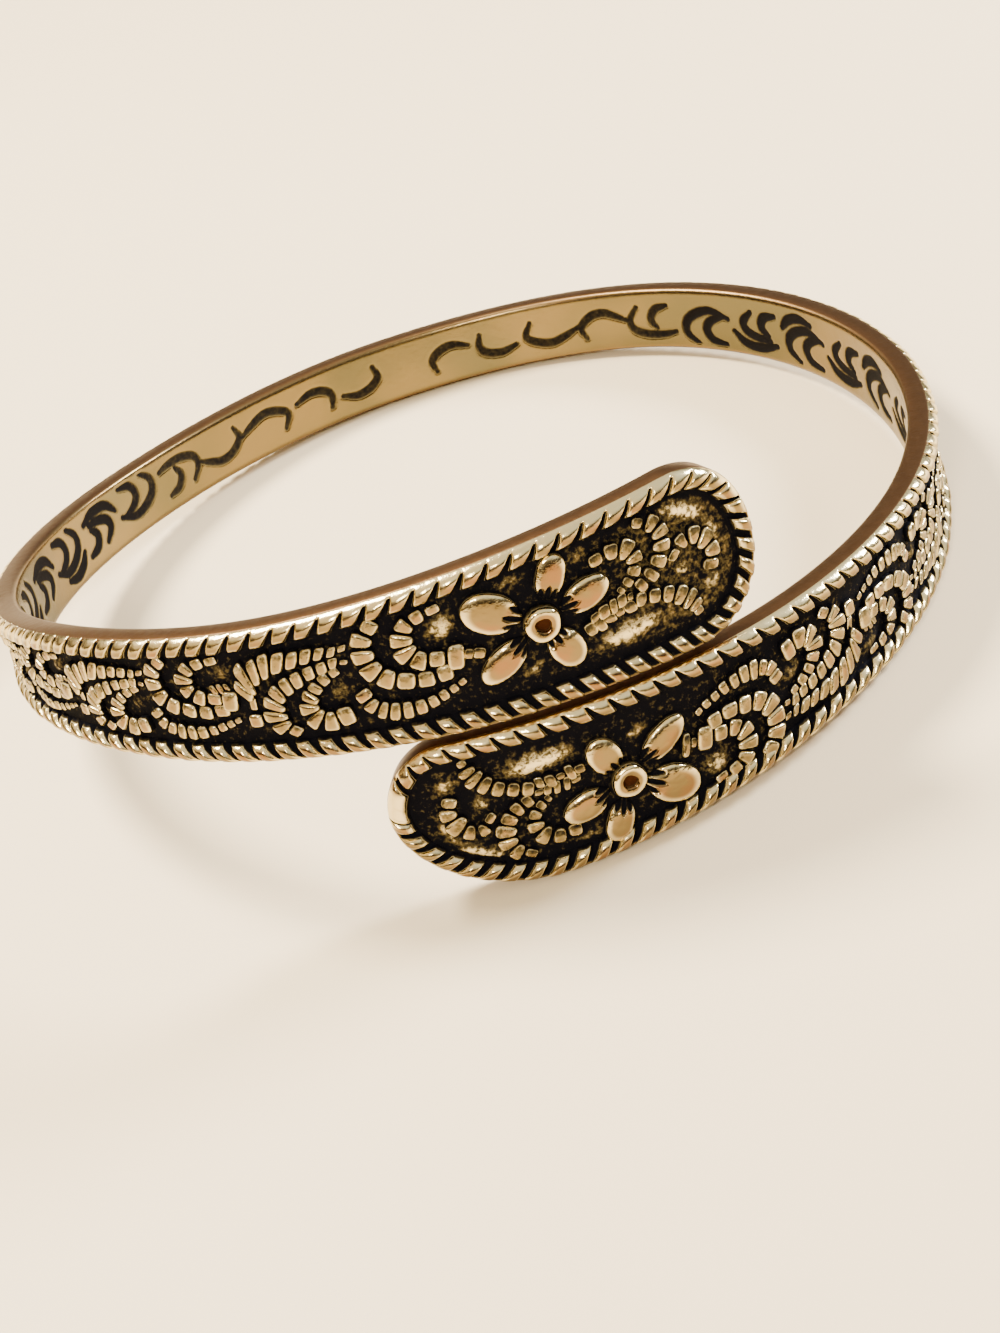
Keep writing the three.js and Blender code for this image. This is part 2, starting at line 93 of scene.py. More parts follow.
wholeRows = np.array(bandRows + [(360 - a, -r, w) for a, r, w in reversed(bandRows[:-1])])


def rowValue(column, angle):
    places, values = wholeRows[:, 0], wholeRows[:, column]
    spans = np.diff(places)
    rates = np.diff(values) / spans
    inner = (spans[:-1] * rates[1:] + spans[1:] * rates[:-1]) / (spans[:-1] + spans[1:])
    slopes = np.concatenate([rates[:1], inner, rates[-1:]])
    gap = np.clip(np.searchsorted(places, angle) - 1, 0, len(spans) - 1)
    t = (angle - places[gap]) / spans[gap]
    between = values[gap] + (values[gap + 1] - values[gap]) * t * t * (3 - 2 * t)
    pull = slopes[gap] * t * (1 - t) ** 2 - slopes[gap + 1] * t * t * (1 - t)
    return between + pull * spans[gap]


def hoopPoint(turn):
    # the hoop's oval seen from above, turned from the front centre
    return cuff["hoopWidth"] / 2 * np.sin(turn), -cuff["hoopDepth"] / 2 * np.cos(turn)


def lengthsAlong(points):
    steps = np.linalg.norm(np.diff(points, axis=0), axis=1)
    return np.concatenate([[0], np.cumsum(steps)])


def unit(vectors):
    return vectors / np.linalg.norm(vectors, axis=-1, keepdims=True)


def extended(points):
    # with one more point past each end
    return np.concatenate([2 * points[:1] - points[1:2], points, 2 * points[-1:] - points[-2:-1]])


# Length round the hoop from the low tip, with the band's rise and half width there
tableAngles = np.linspace(-cuff["overlapAngle"], 360 + cuff["overlapAngle"], stepsRound + 1)
tableLengths = lengthsAlong(np.stack(hoopPoint(np.radians(tableAngles)), 1))
bandLength = tableLengths[-1]
frontHalfWidth = float(rowValue(2, np.array([0.0]))[0]) * cuff["endWidth"] / 2
frontRise = frontHalfWidth + cuff["endGap"] / 2
tableRises = rowValue(1, tableAngles) * frontRise
tableHalves = rowValue(2, tableAngles) * cuff["endWidth"] / 2

heading = math.radians(cuff["restHeading"])
leanLine = Vector((math.cos(heading), math.sin(heading), 0))
restTurn = np.array(Matrix.Rotation(math.radians(cuff["restTilt"]), 3, leanLine))
restShift = np.array(cuff["restShift"])


def halfWidthAt(along):
    return np.interp(along, tableLengths, tableHalves)


def fieldHalfAt(along):
    return halfWidthAt(along) - cuff["ropeWidth"]


def onBand(along, across, height):
    # along from the low tip, across from the middle line, height from the inside face; gives metres
    turn = np.radians(np.interp(along, tableLengths, tableAngles))
    points = np.stack([*hoopPoint(turn), across], -1)
    points[..., 2] += np.interp(along, tableLengths, tableRises)
    outward = [cuff["hoopDepth"] * np.sin(turn), -cuff["hoopWidth"] * np.cos(turn), 0 * turn]
    points += unit(np.stack(outward, -1)) * (height - cuff["thickness"])[..., None]
    return (points @ restTurn.T + restShift) * millimetre


def fromTip(end, along, across):
    # turns a place on the band into one counted from an end's own tip, and the other way round;
    # across is then away from the other end
    if end == "low":
        return along, -across
    return bandLength - along, across


def edgeAcross(along, upper):
    values = np.empty_like(along)
    for tip, isHigh in ((lowTip, False), (highTip, True)):
        here = (along >= bandLength / 2) == isHigh
        toTip = np.minimum(along[here], bandLength - along[here])
        far = isHigh == upper
        taper = tip["farTaper" if far else "nearTaper"] * cuff["endWidth"]
        apex = tip["apex"] * cuff["endWidth"]
        left = 1 - np.minimum(toTip / taper, 1)
        share = (1 - left ** tip["roundness"]) ** (1 / tip["roundness"])
        half = halfWidthAt(along[here])
        across = apex + (half - apex) * share if far else apex - (half + apex) * share
        values[here] = across if isHigh else -across
    return values


# The outline rolled out flat, one closed loop: the upper edge from the low tip, the lower edge back
def closedOutline(samples=3000):
    along = bandLength * (1 - np.cos(np.pi * np.linspace(0, 1, samples + 1))) / 2
    upper = np.stack([along, edgeAcross(along, True)], 1)
    lower = np.stack([along, edgeAcross(along, False)], 1)
    loop = np.concatenate([upper, lower[::-1][1:]])
    lengths = lengthsAlong(loop)
    return loop, lengths, lengths[samples], lengths[-1]


outline, outlineLengths, upperLength, loopLength = closedOutline()
ropeBeads = 2 * round(loopLength / 2 / cuff["ropePitch"] / 2)


def outlinePoint(distance, inset, step=0.02):
    # a place along the outline, moved inwards; gives along and across
    distance = np.mod(distance, loopLength)
    ahead = np.mod(distance + step, loopLength)
    behind = np.mod(distance - step, loopLength)
    at, after, before = (
        np.stack([np.interp(d, outlineLengths, outline[:, k]) for k in (0, 1)], -1)
        for d in (distance, ahead, behind)
    )
    along = unit(after - before)
    inward = np.stack([along[..., 1], -along[..., 0]], -1)
    return (at + inward * inset).T


def loopDistance(bead):
    # bead counts round the loop; the upper and the lower edge have the same number of beads
    onUpper = bead / ropeBeads * upperLength
    onLower = upperLength + (bead / ropeBeads - 1) * (loopLength - upperLength)
    return np.where(bead <= ropeBeads, onUpper, onLower)


# Numbers kept at each point of a mesh, which the finish reads
layerNames = ("wear", "crest", "rim", "inner", "holeShade")


class Laid:
    # points laid out flat on the band, with their heights and layers
    def __init__(self):
        self.parts = []
        self.total = 0

    def add(self, along, across, height, **layers):
        # gives the number of the first point added
        first = self.total
        values = {"along": along, "across": across, "height": height, **layers}
        self.parts.append({key: np.broadcast_to(v, len(along)) for key, v in values.items()})
        self.total += len(along)
        return first

    def gathered(self, key):
        parts = [part.get(key, np.zeros(len(part["along"]))) for part in self.parts]
        return np.concatenate(parts)


def ringFaces(sides, rings, closed=False):
    # faces between rings that follow each other; closed joins the last ring to the first
    ring = np.arange(sides)
    after = np.roll(ring, -1)
    faces = []
    for k in range(rings if closed else rings - 1):
        this, following = k * sides, (k + 1) % rings * sides
        corners = [this + ring, this + after, following + after, following + ring]
        faces.append(np.stack(corners, 1))
    return np.concatenate(faces)


def withMiddles(values, above=0.0, below=0.0):
    # the values of a shape's rings, then those of the middle points that close it
    return np.concatenate([values, [above, below]])


def capFaces(sides, rings):
    # the last ring closed with the first point after the rings, the first ring with the second
    ring = np.arange(sides)
    after = np.roll(ring, -1)
    last, top = (rings - 1) * sides, rings * sides
    upper = np.stack([last + ring, last + after, np.full(sides, top)], 1)
    return np.concatenate([upper, np.stack([after, ring, np.full(sides, top + 1)], 1)])


def newObject(name, data):
    made = bpy.data.objects.new(name, data)
    bpy.context.scene.collection.objects.link(made)
    return made


def makePiece(name, laid, material, *groups):
    points = onBand(*(laid.gathered(key) for key in ("along", "across", "height")))
    faces = [np.concatenate(group) for group in groups]
    # a piece whose faces look inwards has a volume below nothing, and is turned round
    volume = 0
    for group in faces:
        first = points[group[:, 0]]
        for k in range(1, group.shape[1] - 1):
            cross = np.cross(points[group[:, k]], points[group[:, k + 1]])
            volume += np.sum(first * cross)
    if volume < 0:
        faces = [group[:, ::-1] for group in faces]
    corners = np.concatenate([group.ravel() for group in faces]).astype(np.int32)
    sizes = np.concatenate([np.full(len(group), group.shape[1]) for group in faces])
    starts = np.concatenate([[0], np.cumsum(sizes)[:-1]]).astype(np.int32)
    mesh = bpy.data.meshes.new(name)
    mesh.vertices.add(len(points))
    mesh.vertices.foreach_set("co", points.astype(np.float32).ravel())
    mesh.loops.add(len(corners))
    mesh.loops.foreach_set("vertex_index", corners)
    mesh.polygons.add(len(sizes))
    mesh.polygons.foreach_set("loop_start", starts)
    for layerName in layerNames:
        layer = mesh.attributes.new(layerName, "FLOAT", "POINT")
        layer.data.foreach_set("value", laid.gathered(layerName).astype(np.float32))
    mesh.materials.append(material)
    mesh.update(calc_edges=True)
    mesh.shade_smooth()
    piece = newObject(name, mesh)
    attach(piece, "root")
    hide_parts("cuff")
    print(name, "has", int(np.sum(sizes - 2)), "triangles")


# Shader maths as expressions: a wrapped socket adds Math nodes as it is used
class Wire:
    def __init__(self, tree, socket):
        self.tree = tree
        self.socket = socket

    def math(self, operation, *values, clamp=False):
        settings = {"operation": operation, "use_clamp": clamp}
        return self.tree.node("ShaderNodeMath", settings, dict(enumerate(values)))

    def __add__(self, other):
        return self.math("ADD", self, other)

    __radd__ = __add__

    def __sub__(self, other):
        return self.math("SUBTRACT", self, other)

    def __rsub__(self, other):
        return self.math("SUBTRACT", other, self)

    def __mul__(self, other):
        return self.math("MULTIPLY", self, other)

    __rmul__ = __mul__

    def __truediv__(self, other):
        return self.math("DIVIDE", self, other)

    def clamped(self):
        return self.math("ADD", self, 0.0, clamp=True)

    def between(self, start, end):
        share = ((self - start) / (end - start)).clamped()
        return share * share * (3 - 2 * share)


class Nodes:
    def __init__(self, owner):
        owner.use_nodes = True
        self.nodes = owner.node_tree.nodes
        self.links = owner.node_tree.links
        self.nodes.clear()

    def node(self, kind, settings, inputs, output=0):
        made = self.nodes.new(kind)
        for name, value in settings.items():
            setattr(made, name, value)
        for key, value in inputs.items():
            if isinstance(value, Wire):
                self.links.new(value.socket, made.inputs[key])
            else:
                made.inputs[key].default_value = value
        return Wire(self, made.outputs[output]) if made.outputs else None

    def layer(self, name):
        return self.node("ShaderNodeAttribute", {"attribute_name": name}, {}, "Fac")

    def millimetres(self):
        place = self.node("ShaderNodeTexCoord", {}, {}, "Object")
        return self.multiplied(place, (1 / millimetre,) * 3)

    def multiplied(self, vector, other):
        settings = {"operation": "MULTIPLY"}
        return self.node("ShaderNodeVectorMath", settings, {0: vector, 1: other})

    def noise(self, place, size, detail, rough):
        inputs = {"Vector": place, "Scale": 1 / size, "Detail": detail, "Roughness": rough}
        return self.node("ShaderNodeTexNoise", {}, inputs, "Fac")

    def mix(self, share, first, second):
        colours = [c if isinstance(c, Wire) else (*c, 1) for c in (first, second)]
        settings = {"data_type": "RGBA", "clamp_factor": True}
        return self.node("ShaderNodeMix", settings, {0: share, 6: colours[0], 7: colours[1]}, 2)


# Colours of the worn brass, and how its wear and painted shade turn into finish. Levels go from
# black to bronze to bright metal; the inside is calmer than the outside. The crest colour is a
# painted highlight, partly polish by wear; the rim colours are a painted warm reflection, and the
# hole shade colour is painted shade in the bosses' holes
brass = {
    # crest: bright colour painted on edges and shoulders as a highlight, partly polish by wear; on
    # rubbed mounds it is wear
    "crest": (0.84, 0.70, 0.38),
    "high": (0.22, 0.155, 0.065),
    "copper": (0.27, 0.14, 0.055),
    "bronze": (0.12, 0.088, 0.032),
    "black": (0.002, 0.002, 0.004),
    # rim colours: a painted warm brown reflection on the band's edges
    "rim": (0.085, 0.04, 0.016),
    "rimPale": (0.17, 0.088, 0.038),
    "inner": (0.14, 0.115, 0.052),
    "innerPale": (0.21, 0.15, 0.06),
    "innerBlack": (0.006, 0.005, 0.005),
    # painted shade colour for the inside of the bosses' holes
    "holeShade": (0.06, 0.018, 0.005),
    "wearPull": 1.2,
    "wearFloor": 1.1,
    "mottle": 2.2,
    "innerCalm": 0.8,
    "bronzeLevels": (-0.42, 0.06),
    "brightLevels": (-0.1, 0.24),
    "copperFrom": 0.45,
    "copperPull": 6,
    "innerLevels": (0.35, 0.65),
    "rimShare": 0.6,
    "streaks": (1.0, 1.0, 5.0),
    "streakPull": 0.14,
    "rimDull": 0.16,
    "dull": 0.82,
    "metallic": (0.1, 0.5, 0.4),
    "grain": 0.3,
    "bumpStrength": 0.5,
    "bumpDistance": 0.00003,
    "specular": 0.06,
}
# Marks in the metal: size in millimetres, detail and roughness of the noise
marks = {
    "speckle": (0.34, 5.0, 0.65),
    "cloud": (1.7, 3.0, 0.5),
    "innerCloud": (9.0, 2.0, 0.55),
    "rimCloud": (0.6, 4.0, 0.55),
    "streak": (0.35, 4.0, 0.7),
    "grain": (0.05, 2.0, 0.55),
    "dents": (0.5, 3.0, 0.55),
}
# Each piece's own finish: roughness where bright, mottling, copper tint and depth of the dents
finishes = {
    "bandBrass": {"polish": 0.24, "mottle": 1.0, "tint": 0.4, "dent": 1.3},
    "ropeBrass": {"polish": 0.19, "mottle": 0.4, "tint": 0.75, "dent": 2.4},
    "scrollBrass": {"polish": 0.19, "mottle": 0.5, "tint": 0.6, "dent": 2.4},
    "blossomBrass": {"polish": 0.15, "mottle": 0.4, "tint": 0.9, "dent": 3.4},
}


def wornBrass(name):
    look = finishes[name]
    material = bpy.data.materials.new(name)
    tree = Nodes(material)
    place = tree.millimetres()
    wear, crest, rim, inner, holeShade = (tree.layer(layerName) for layerName in layerNames)

    def mark(key):
        return tree.noise(place, *marks[key])

    speckle = (mark("speckle") - 0.5) * (brass["mottle"] * look["mottle"])
    grainy = (speckle * (1 - inner * brass["innerCalm"]) + 0.5).clamped()
    level = wear * brass["wearPull"] + grainy - brass["wearFloor"]
    bronzeShare = level.between(*brass["bronzeLevels"])
    brightShare = level.between(*brass["brightLevels"])

    cloud = mark("cloud") - brass["copperFrom"]
    copperShare = (cloud * (brass["copperPull"] * look["tint"])).clamped()
    high = tree.mix(copperShare, brass["high"], brass["copper"])
    # painted highlight: crest places take the bright crest colour, partly standing for polish by
    # wear
    high = tree.mix(crest, high, brass["crest"])
    innerShare = mark("innerCloud").between(*brass["innerLevels"])
    high = tree.mix(inner, high, tree.mix(innerShare, brass["inner"], brass["innerPale"]))
    # painted reflection: the rims take a darker warm brown than the rest of the brass
    rimShare = mark("rimCloud") * brass["rimShare"]
    lit = tree.mix(rim, high, tree.mix(rimShare, brass["rim"], brass["rimPale"]))
    black = tree.mix(inner, brass["black"], brass["innerBlack"])
    dark = tree.mix(bronzeShare, black, brass["bronze"])
    # painted shade: the boss holes are darkened to a deep brown
    colour = tree.mix(holeShade, tree.mix(brightShare, dark, lit), brass["holeShade"])

    streak = tree.noise(tree.multiplied(place, brass["streaks"]), *marks["streak"]) - 0.5
    shine = look["polish"] + streak * brass["streakPull"] + rim * brass["rimDull"]
    roughness = brass["dull"] - (brass["dull"] - shine) * brightShare
    base, bronzed, polished = brass["metallic"]
    metallic = base + bronzed * bronzeShare + polished * brightShare

    grain = mark("grain") * (brass["grain"] + (1 - brightShare))
    relief = grain + mark("dents") * look["dent"]
    inputs = {"Strength": brass["bumpStrength"], "Distance": brass["bumpDistance"]}
    bump = tree.node("ShaderNodeBump", {}, {**inputs, "Height": relief}, "Normal")
    shader = tree.node("ShaderNodeBsdfPrincipled", {}, {
        "Base Color": colour,
        "Metallic": metallic.clamped(),
        "Roughness": roughness.clamped(),
        "Normal": bump,
        "Specular IOR Level": brass["specular"],
    })
    tree.node("ShaderNodeOutputMaterial", {}, {"Surface": shader})
    return material


# Strokes cut into a face: half their width at the middle, running out at both ends
stroke = {"taper": 0.28, "endShare": 0.05}


def smoothPath(points, perGap=8):
    points = np.asarray(points, float)
    padded = extended(points)
    t = np.linspace(0, 1, perGap, endpoint=False)[:, None]
    parts = []
    for a, b, c, d in zip(padded, padded[1:], padded[2:], padded[3:]):
        curve = 2 * b + (c - a) * t + (2 * a - 5 * b + 4 * c - d) * t**2
        parts.append((curve + (3 * b - a - 3 * c + d) * t**3) / 2)
    parts.append(points[-1:])
    return np.concatenate(parts)


def strokeValue(along, across, strokes):
    # 1 on a stroke's middle line, a half at its edge, 0 away from it
    value = np.zeros_like(along)
    for path, halfWidth in strokes:
        curve = smoothPath(path)
        ends = np.linspace(0, 1, len(curve))
        ends = np.clip(ends, stroke["endShare"], 1 - stroke["endShare"])
        widths = halfWidth * np.sin(np.pi * ends) ** stroke["taper"]
        low, high = curve.min(0) - 2 * halfWidth, curve.max(0) + 2 * halfWidth
        near = (along > low[0]) & (along < high[0]) & (across > low[1]) & (across < high[1])
        if not near.any():
            continue
        gaps = np.hypot(along[near][:, None] - curve[:, 0], across[near][:, None] - curve[:, 1])
        share = 1 - gaps / (2 * widths)
        value[near] = np.maximum(value[near], share.max(1))
    return np.clip(value, 0, 1)


# Band body: the metal under the ornament, its rims, and the inside face with its cut crescents
body = {
    "stationsPerBead": 8,
    "insideColumns": 36,
    "fieldColumns": 18,
    "crescentDepth": 0.1,
    "crescentWidth": 0.34,
    "waveShare": 0.9,
    "cutRise": (0.2, 0.7),
    "cutStain": (0.1, 0.6),
    "cutDark": 0.97,
    "cutFaded": 0.19,
    "fadedSpan": (74, 86),
    "fleck": 0.075,
    "patinaSpan": (6.5, 11.0),
    "moundEdge": (0.25, 1.15),
    "rubbedCrest": (0.25, 0.6),
}
# Across the edge: inset, height, then shares of rim finish (its colour a painted warm reflection),
# wear and inside finish
bandSection = [
    (0.42, 0.0, 0.0, 1.0, 1.0),
    (0.2, 0.03, 0.1, 1.0, 0.3),
    (0.07, 0.12, 0.6, 1.0, 0.0),
    (0.0, 0.3, 1.0, 1.0, 0.0),
    (0.0, 0.8, 1.0, 1.0, 0.0),
    (0.0, 1.3, 1.0, 1.0, 0.0),
    (0.04, 1.44, 0.8, 1.0, 0.0),
    (0.1, 1.5, 0.3, 1.0, 0.0),
    (0.16, 1.5, 0.0, 0.6, 0.0),
    (0.24, 1.42, 0.0, 0.0, 0.0),
    (cuff["ropeWidth"] * 0.6, fieldHeight, 0.0, 0.0, 0.0),
    (cuff["ropeWidth"] + 0.2, fieldHeight, 0.0, 0.0, 0.0),
]

# Crescents of one repeat on the inside, counted from the tip: along and across in millimetres
crescents = [
    [(3.3, 1.9), (4.2, 1.1), (4.1, 0.2), (3.2, -0.5), (1.8, -0.8), (0.3, -0.3)],
    [(0.8, 1.8), (2.0, 1.5), (2.4, 0.7), (1.9, 0.0), (0.8, -0.4)],
    [(-0.2, 0.6), (-1.1, 1.4), (-2.6, 1.6), (-4.2, 1.2)],
    [(-2.0, -1.1), (-1.2, -0.3), (-1.4, 0.4), (-2.4, 0.8), (-3.6, 0.9)],
    [(-4.4, -1.2), (-3.3, -0.9), (-2.9, -0.1), (-3.5, 0.5)],
]
underArc = [(4.7, -0.5), (4.0, -1.2), (2.8, -1.6), (1.5, -1.4)]
waves = [
    [(25.5, 1.0), (25.7, 0.1), (24.9, -0.55), (23.8, -0.75), (22.6, -0.4)],
    [(21.5, -0.9), (21.7, 0.0), (21.2, 0.6), (20.0, 0.85), (18.7, 0.5)],
    [(17.3, -0.9), (17.8, 0.1), (17.0, 0.7), (15.8, 0.95), (14.6, 0.6), (13.5, 0.1)],
    [(12.9, 1.1), (13.2, 0.2), (12.3, -0.6), (11.2, -0.8), (10.2, -0.45), (9.3, 0.0)],
    [(8.3, -1.0), (9.0, 0.0), (8.7, 0.8), (7.5, 1.2), (6.2, 1.2), (5.2, 1.0)],
    [(5.7, -1.1), (6.7, -0.8), (7.2, 0.0), (6.8, 0.7)],
]
insideStarts = {"low": 77.0, "high": 79.8}
crescentPitch = 9.8
crescentRepeats = 5


def insideStrokes(end):
    start, width = insideStarts[end], body["crescentWidth"]
    strokes = []
    for repeat in range(crescentRepeats):
        shift = start - repeat * crescentPitch
        for motif in crescents + ([underArc] if repeat > 0 else []):
            strokes.append(([(shift + a, c) for a, c in motif], width))
    for wave in waves:
        strokes.append(([(start + a, c) for a, c in wave], width * body["waveShare"]))
    return strokes


# Low worn mounds of the sunk field: along, across, half length, half width, turn in degrees,
# height, and how rubbed they are
endMounds = [
    (8.6, -2.4, 2.9, 0.85, 3, 0.3, 0.62),
    (4.2, 3.0, 2.3, 0.75, -32, 0.26, 0.6),
    (2.6, 1.2, 1.6, 0.5, -68, 0.18, 0.42),
    (3.2, -1.9, 0.95, 0.8, 30, 0.2, 0.45),
    (4.9, -0.4, 0.6, 0.5, 0, 0.18, 0.5),
    (10.6, 3.1, 1.0, 0.4, 8, 0.12, 0.36),
    (14.6, 3.1, 1.2, 0.4, 0, 0.12, 0.38),
    (14.3, -2.4, 0.9, 0.45, 12, 0.14, 0.42),
    (18.6, 1.9, 1.15, 0.95, 20, 0.28, 0.5),
    (25.0, -0.4, 1.0, 0.6, 20, 0.2, 0.34),
]
repeatMounds = [
    (1.2, 2.2, 1.4, 0.7, 10, 0.24, 0.3),
    (7.75, -0.3, 1.0, 0.6, 20, 0.2, 0.28),
]


def placed(end, along, across):
    # moves a charted place to where this end has it
    plan = endPatterns[end]
    fade = 1 - smooth(np.asarray(along, float), *plan["fade"])
    lean = plan["lean"] * np.maximum(flowerAt[0] - along, 0)
    moveAlong = plan["along"] * (staysAlong + (1 - staysAlong) * fade)
    moveAcross = (plan["across"] - lean) * (staysAcross + (1 - staysAcross) * fade)
    return along + moveAlong, across + moveAcross


def repeatSpans():
    # start and length of every repeat of the scrolls, from the flower to the middle of the back
    first, pitch = cuff["firstRepeat"], cuff["scrollPitch"]
    wideEnd = first + cuff["wideRepeats"] * pitch
    narrowPitch = (bandLength / 2 - wideEnd) / cuff["narrowRepeats"]
    wideSpans = [(first + i * pitch, pitch) for i in range(cuff["wideRepeats"])]
    narrowSpans = [(wideEnd + i * narrowPitch, narrowPitch) for i in range(cuff["narrowRepeats"])]
    return wideSpans + narrowSpans


def intoRepeat(start, length, along, across):
    # a charted place of the first repeat, moved into another one and narrowed with the band
    chartAlong = cuff["firstRepeat"] + along
    place = start + along * length / cuff["scrollPitch"]
    return place, across * fieldHalfAt(place) / fieldHalfAt(chartAlong)


def allMounds():
    # the end's own, then those of the later repeats, which get smaller with the band
    rows = list(endMounds)
    for start, length in repeatSpans()[1:]:
        for row in repeatMounds:
            place, side = intoRepeat(start, length, *row[:2])
            narrow = float(fieldHalfAt(place) / fieldHalfAt(cuff["firstRepeat"]))
            rows.append((place, side, row[2] * narrow, row[3] * narrow, *row[4:]))
    return rows


def moundsAt(end, along, across):
    rise = np.zeros_like(along)
    rub = np.zeros_like(along)
    for place, side, long, wide, degrees, height, rubbed in allMounds():
        centre = placed(end, place, side)
        turn = math.radians(degrees)
        ahead, aside = along - centre[0], across - centre[1]
        forward = -ahead * math.cos(turn) + aside * math.sin(turn)
        sideways = ahead * math.sin(turn) + aside * math.cos(turn)
        away = np.sqrt((forward / long) ** 2 + (sideways / wide) ** 2)
        share = 1 - smooth(away, *body["moundEdge"])
        rise = np.maximum(rise, share * height)
        rub = np.maximum(rub, share * rubbed)
    return rise, rub


def insideFace(along, across):
    # smooth metal with crescents, whose blacking fades towards the middle of the back
    cut = np.zeros_like(along)
    for end in ("low", "high"):
        cut = np.maximum(cut, strokeValue(*fromTip(end, along, across), insideStrokes(end)))
    toTip = np.minimum(along, bandLength - along)
    faded = body["cutFaded"] * smooth(toTip, *body["fadedSpan"])
    height = body["crescentDepth"] * smooth(cut, *body["cutRise"])
    wear = 1 - (body["cutDark"] - faded) * smooth(cut, *body["cutStain"])
    return {"height": height, "wear": wear, "inner": 1.0}


def fieldFace(along, across):
    # the sunk field between the ropes, with its rubbed mounds and the patina of the ends
    rise, rub, patina = np.zeros((3, len(along)))
    for end in ("low", "high"):
        here = (along < bandLength / 2) == (end == "low")
        toTip, side = fromTip(end, along[here], across[here])
        rise[here], rub[here] = moundsAt(end, toTip, side)
        fade = 1 - smooth(toTip, *body["patinaSpan"])
        patina[here] = endPatterns[end]["patina"] * fade
    wear = body["fleck"] + np.maximum(rub, patina)
    return {"height": fieldHeight + rise, "wear": wear, "crest": smooth(rub, *body["rubbedCrest"])}


def buildBand(material):
    laid = Laid()
    stations = ropeBeads * body["stationsPerBead"]
    count = 2 * stations
    distances = loopDistance(np.arange(count) / body["stationsPerBead"])
    for inset, height, rim, wear, inner in bandSection:
        laid.add(*outlinePoint(distances, inset), height, rim=rim, wear=wear, inner=inner)
    quads = [ringFaces(count, len(bandSection))[:, [0, 3, 2, 1]]]
    fans = []
    up = np.arange(1, stations)
    lastRing = len(bandSection) - 1
    faces = ((0, body["insideColumns"], insideFace), (lastRing, body["fieldColumns"], fieldFace))
    for ringIndex, columns, face in faces:
        edge = outlinePoint(distances, bandSection[ringIndex][0])
        upper, lower = edge[:, up, None], edge[:, count - up, None]
        shares = np.arange(1, columns) / columns
        along, across = (upper + (lower - upper) * shares).reshape(2, -1)
        first = laid.add(along, across, **face(along, across))
        ids = first + np.arange(len(along)).reshape(stations - 1, columns - 1)
        start = ringIndex * count
        upperIds, lowerIds = start + up[:, None], start + count - up[:, None]
        full = np.concatenate([upperIds, ids, lowerIds], 1)
        rows = np.stack([full[:-1, :-1], full[1:, :-1], full[1:, 1:], full[:-1, 1:]], -1)
        lowTips, highTips = np.full(columns, start), np.full(columns, start + stations)
        lowFan = np.stack([lowTips, full[0, :-1], full[0, 1:]], 1)
        highFan = np.stack([highTips, full[-1, 1:], full[-1, :-1]], 1)
        winding = -1 if face is fieldFace else 1
        quads.append(rows.reshape(-1, 4)[:, ::winding])
        fans += [lowFan[:, ::winding], highFan[:, ::winding]]
    makePiece("band_body", laid, material, quads, fans)


# Rope border: one raised bead round the whole edge, cut across by slanting strokes. Far and near
# are the edges away from the other end and beside it; later is back from the two ends
rope = {
    "seed": 11,
    "crest": 0.3,
    "lean": 0.85,
    "leanTurn": 3.5,
    "flipAt": 4.6,
    "flipFade": 1.4,
    "fieldCut": 0.175,
    "rimCutFar": 0.03,
    "rimCutNear": 0.14,
    "laterWider": 1.6,
    "shoulderFar": 0.1,
    "shoulderNear": 0.2,
    "cutStart": -0.06,
    "cutFull": 0.14,
    "cutLater": 0.16,
    "cutDeep": 0.85,
    "cutLevel": 0.06,
    "laterSpan": (30.0, 46.0),
    "nearSpan": (1.0, 4.0),
    "smoothFrom": -0.6,
    "smoothTo": 2.6,
    "smoothFade": 0.7,
    "unevenness": 0.05,
    "footDepth": 0.3,
    "footShares": (1.0, 0.06),
    "belowField": 0.02,
}
# place on a bead's shoulder and level there
ropeShoulders = [(0.1, 0.44), (0.32, 0.73), (0.62, 0.92), (1.0, 1.0)]
# share of the rope's width from the rim, and height above the field as a share of the crest
ropeSection = [
    (0.02, 0.23), (0.07, 0.46), (0.14, 0.66), (0.22, 0.82), (0.32, 0.94), (0.44, 1.0),
    (0.56, 1.0), (0.68, 0.96), (0.79, 0.86), (0.88, 0.68), (0.95, 0.4), (1.0, -0.1),
]
# where the blacking gives way to metal, and the metal to a bright crest, a painted highlight partly
# standing for polish: depths, levels, shares
ropeLooks = {
    "cutDepth": (0.0, 0.4),
    "cutLevel": (0.3, 0.78),
    "fieldSide": (0.86, 1.0),
    "beadEdge": (0.86, 1.0),
    "outerSide": (0.25, 0.5),
    "lowerSide": (0.7, 0.85),
}


def ropeLeanAt(distance):
    # ahead round the loop is positive: to the tip on the far edges, away from it on the near ones
    distance = np.mod(distance, loopLength)
    lower = distance > upperLength
    place = np.where(lower, distance - upperLength, distance)
    total = np.where(lower, loopLength - upperLength, upperLength)
    side = np.clip((place - total / 2) / rope["leanTurn"], -1, 1)
    flip = -np.clip((place - rope["flipAt"]) / rope["flipFade"], -1, 1)
    return np.where(side > -1, side, flip)


def nearShareAt(distance):
    # the near edges and the tips have wider strokes than the far edges
    distance = np.mod(distance, loopLength)
    toTip = np.minimum(distance, upperLength - distance)
    onUpper = 1 - smooth(toTip, *rope["nearSpan"])
    return np.where(distance > upperLength, 1.0, onUpper)


def wornSmooth(distance):
    # the low end's tip is worn plain for a short way
    place = np.mod(distance + loopLength / 2, loopLength) - loopLength / 2
    fade = rope["smoothFade"]
    start = smooth(place, rope["smoothFrom"], rope["smoothFrom"] + fade)
    return start * (1 - smooth(place, rope["smoothTo"] - fade, rope["smoothTo"]))


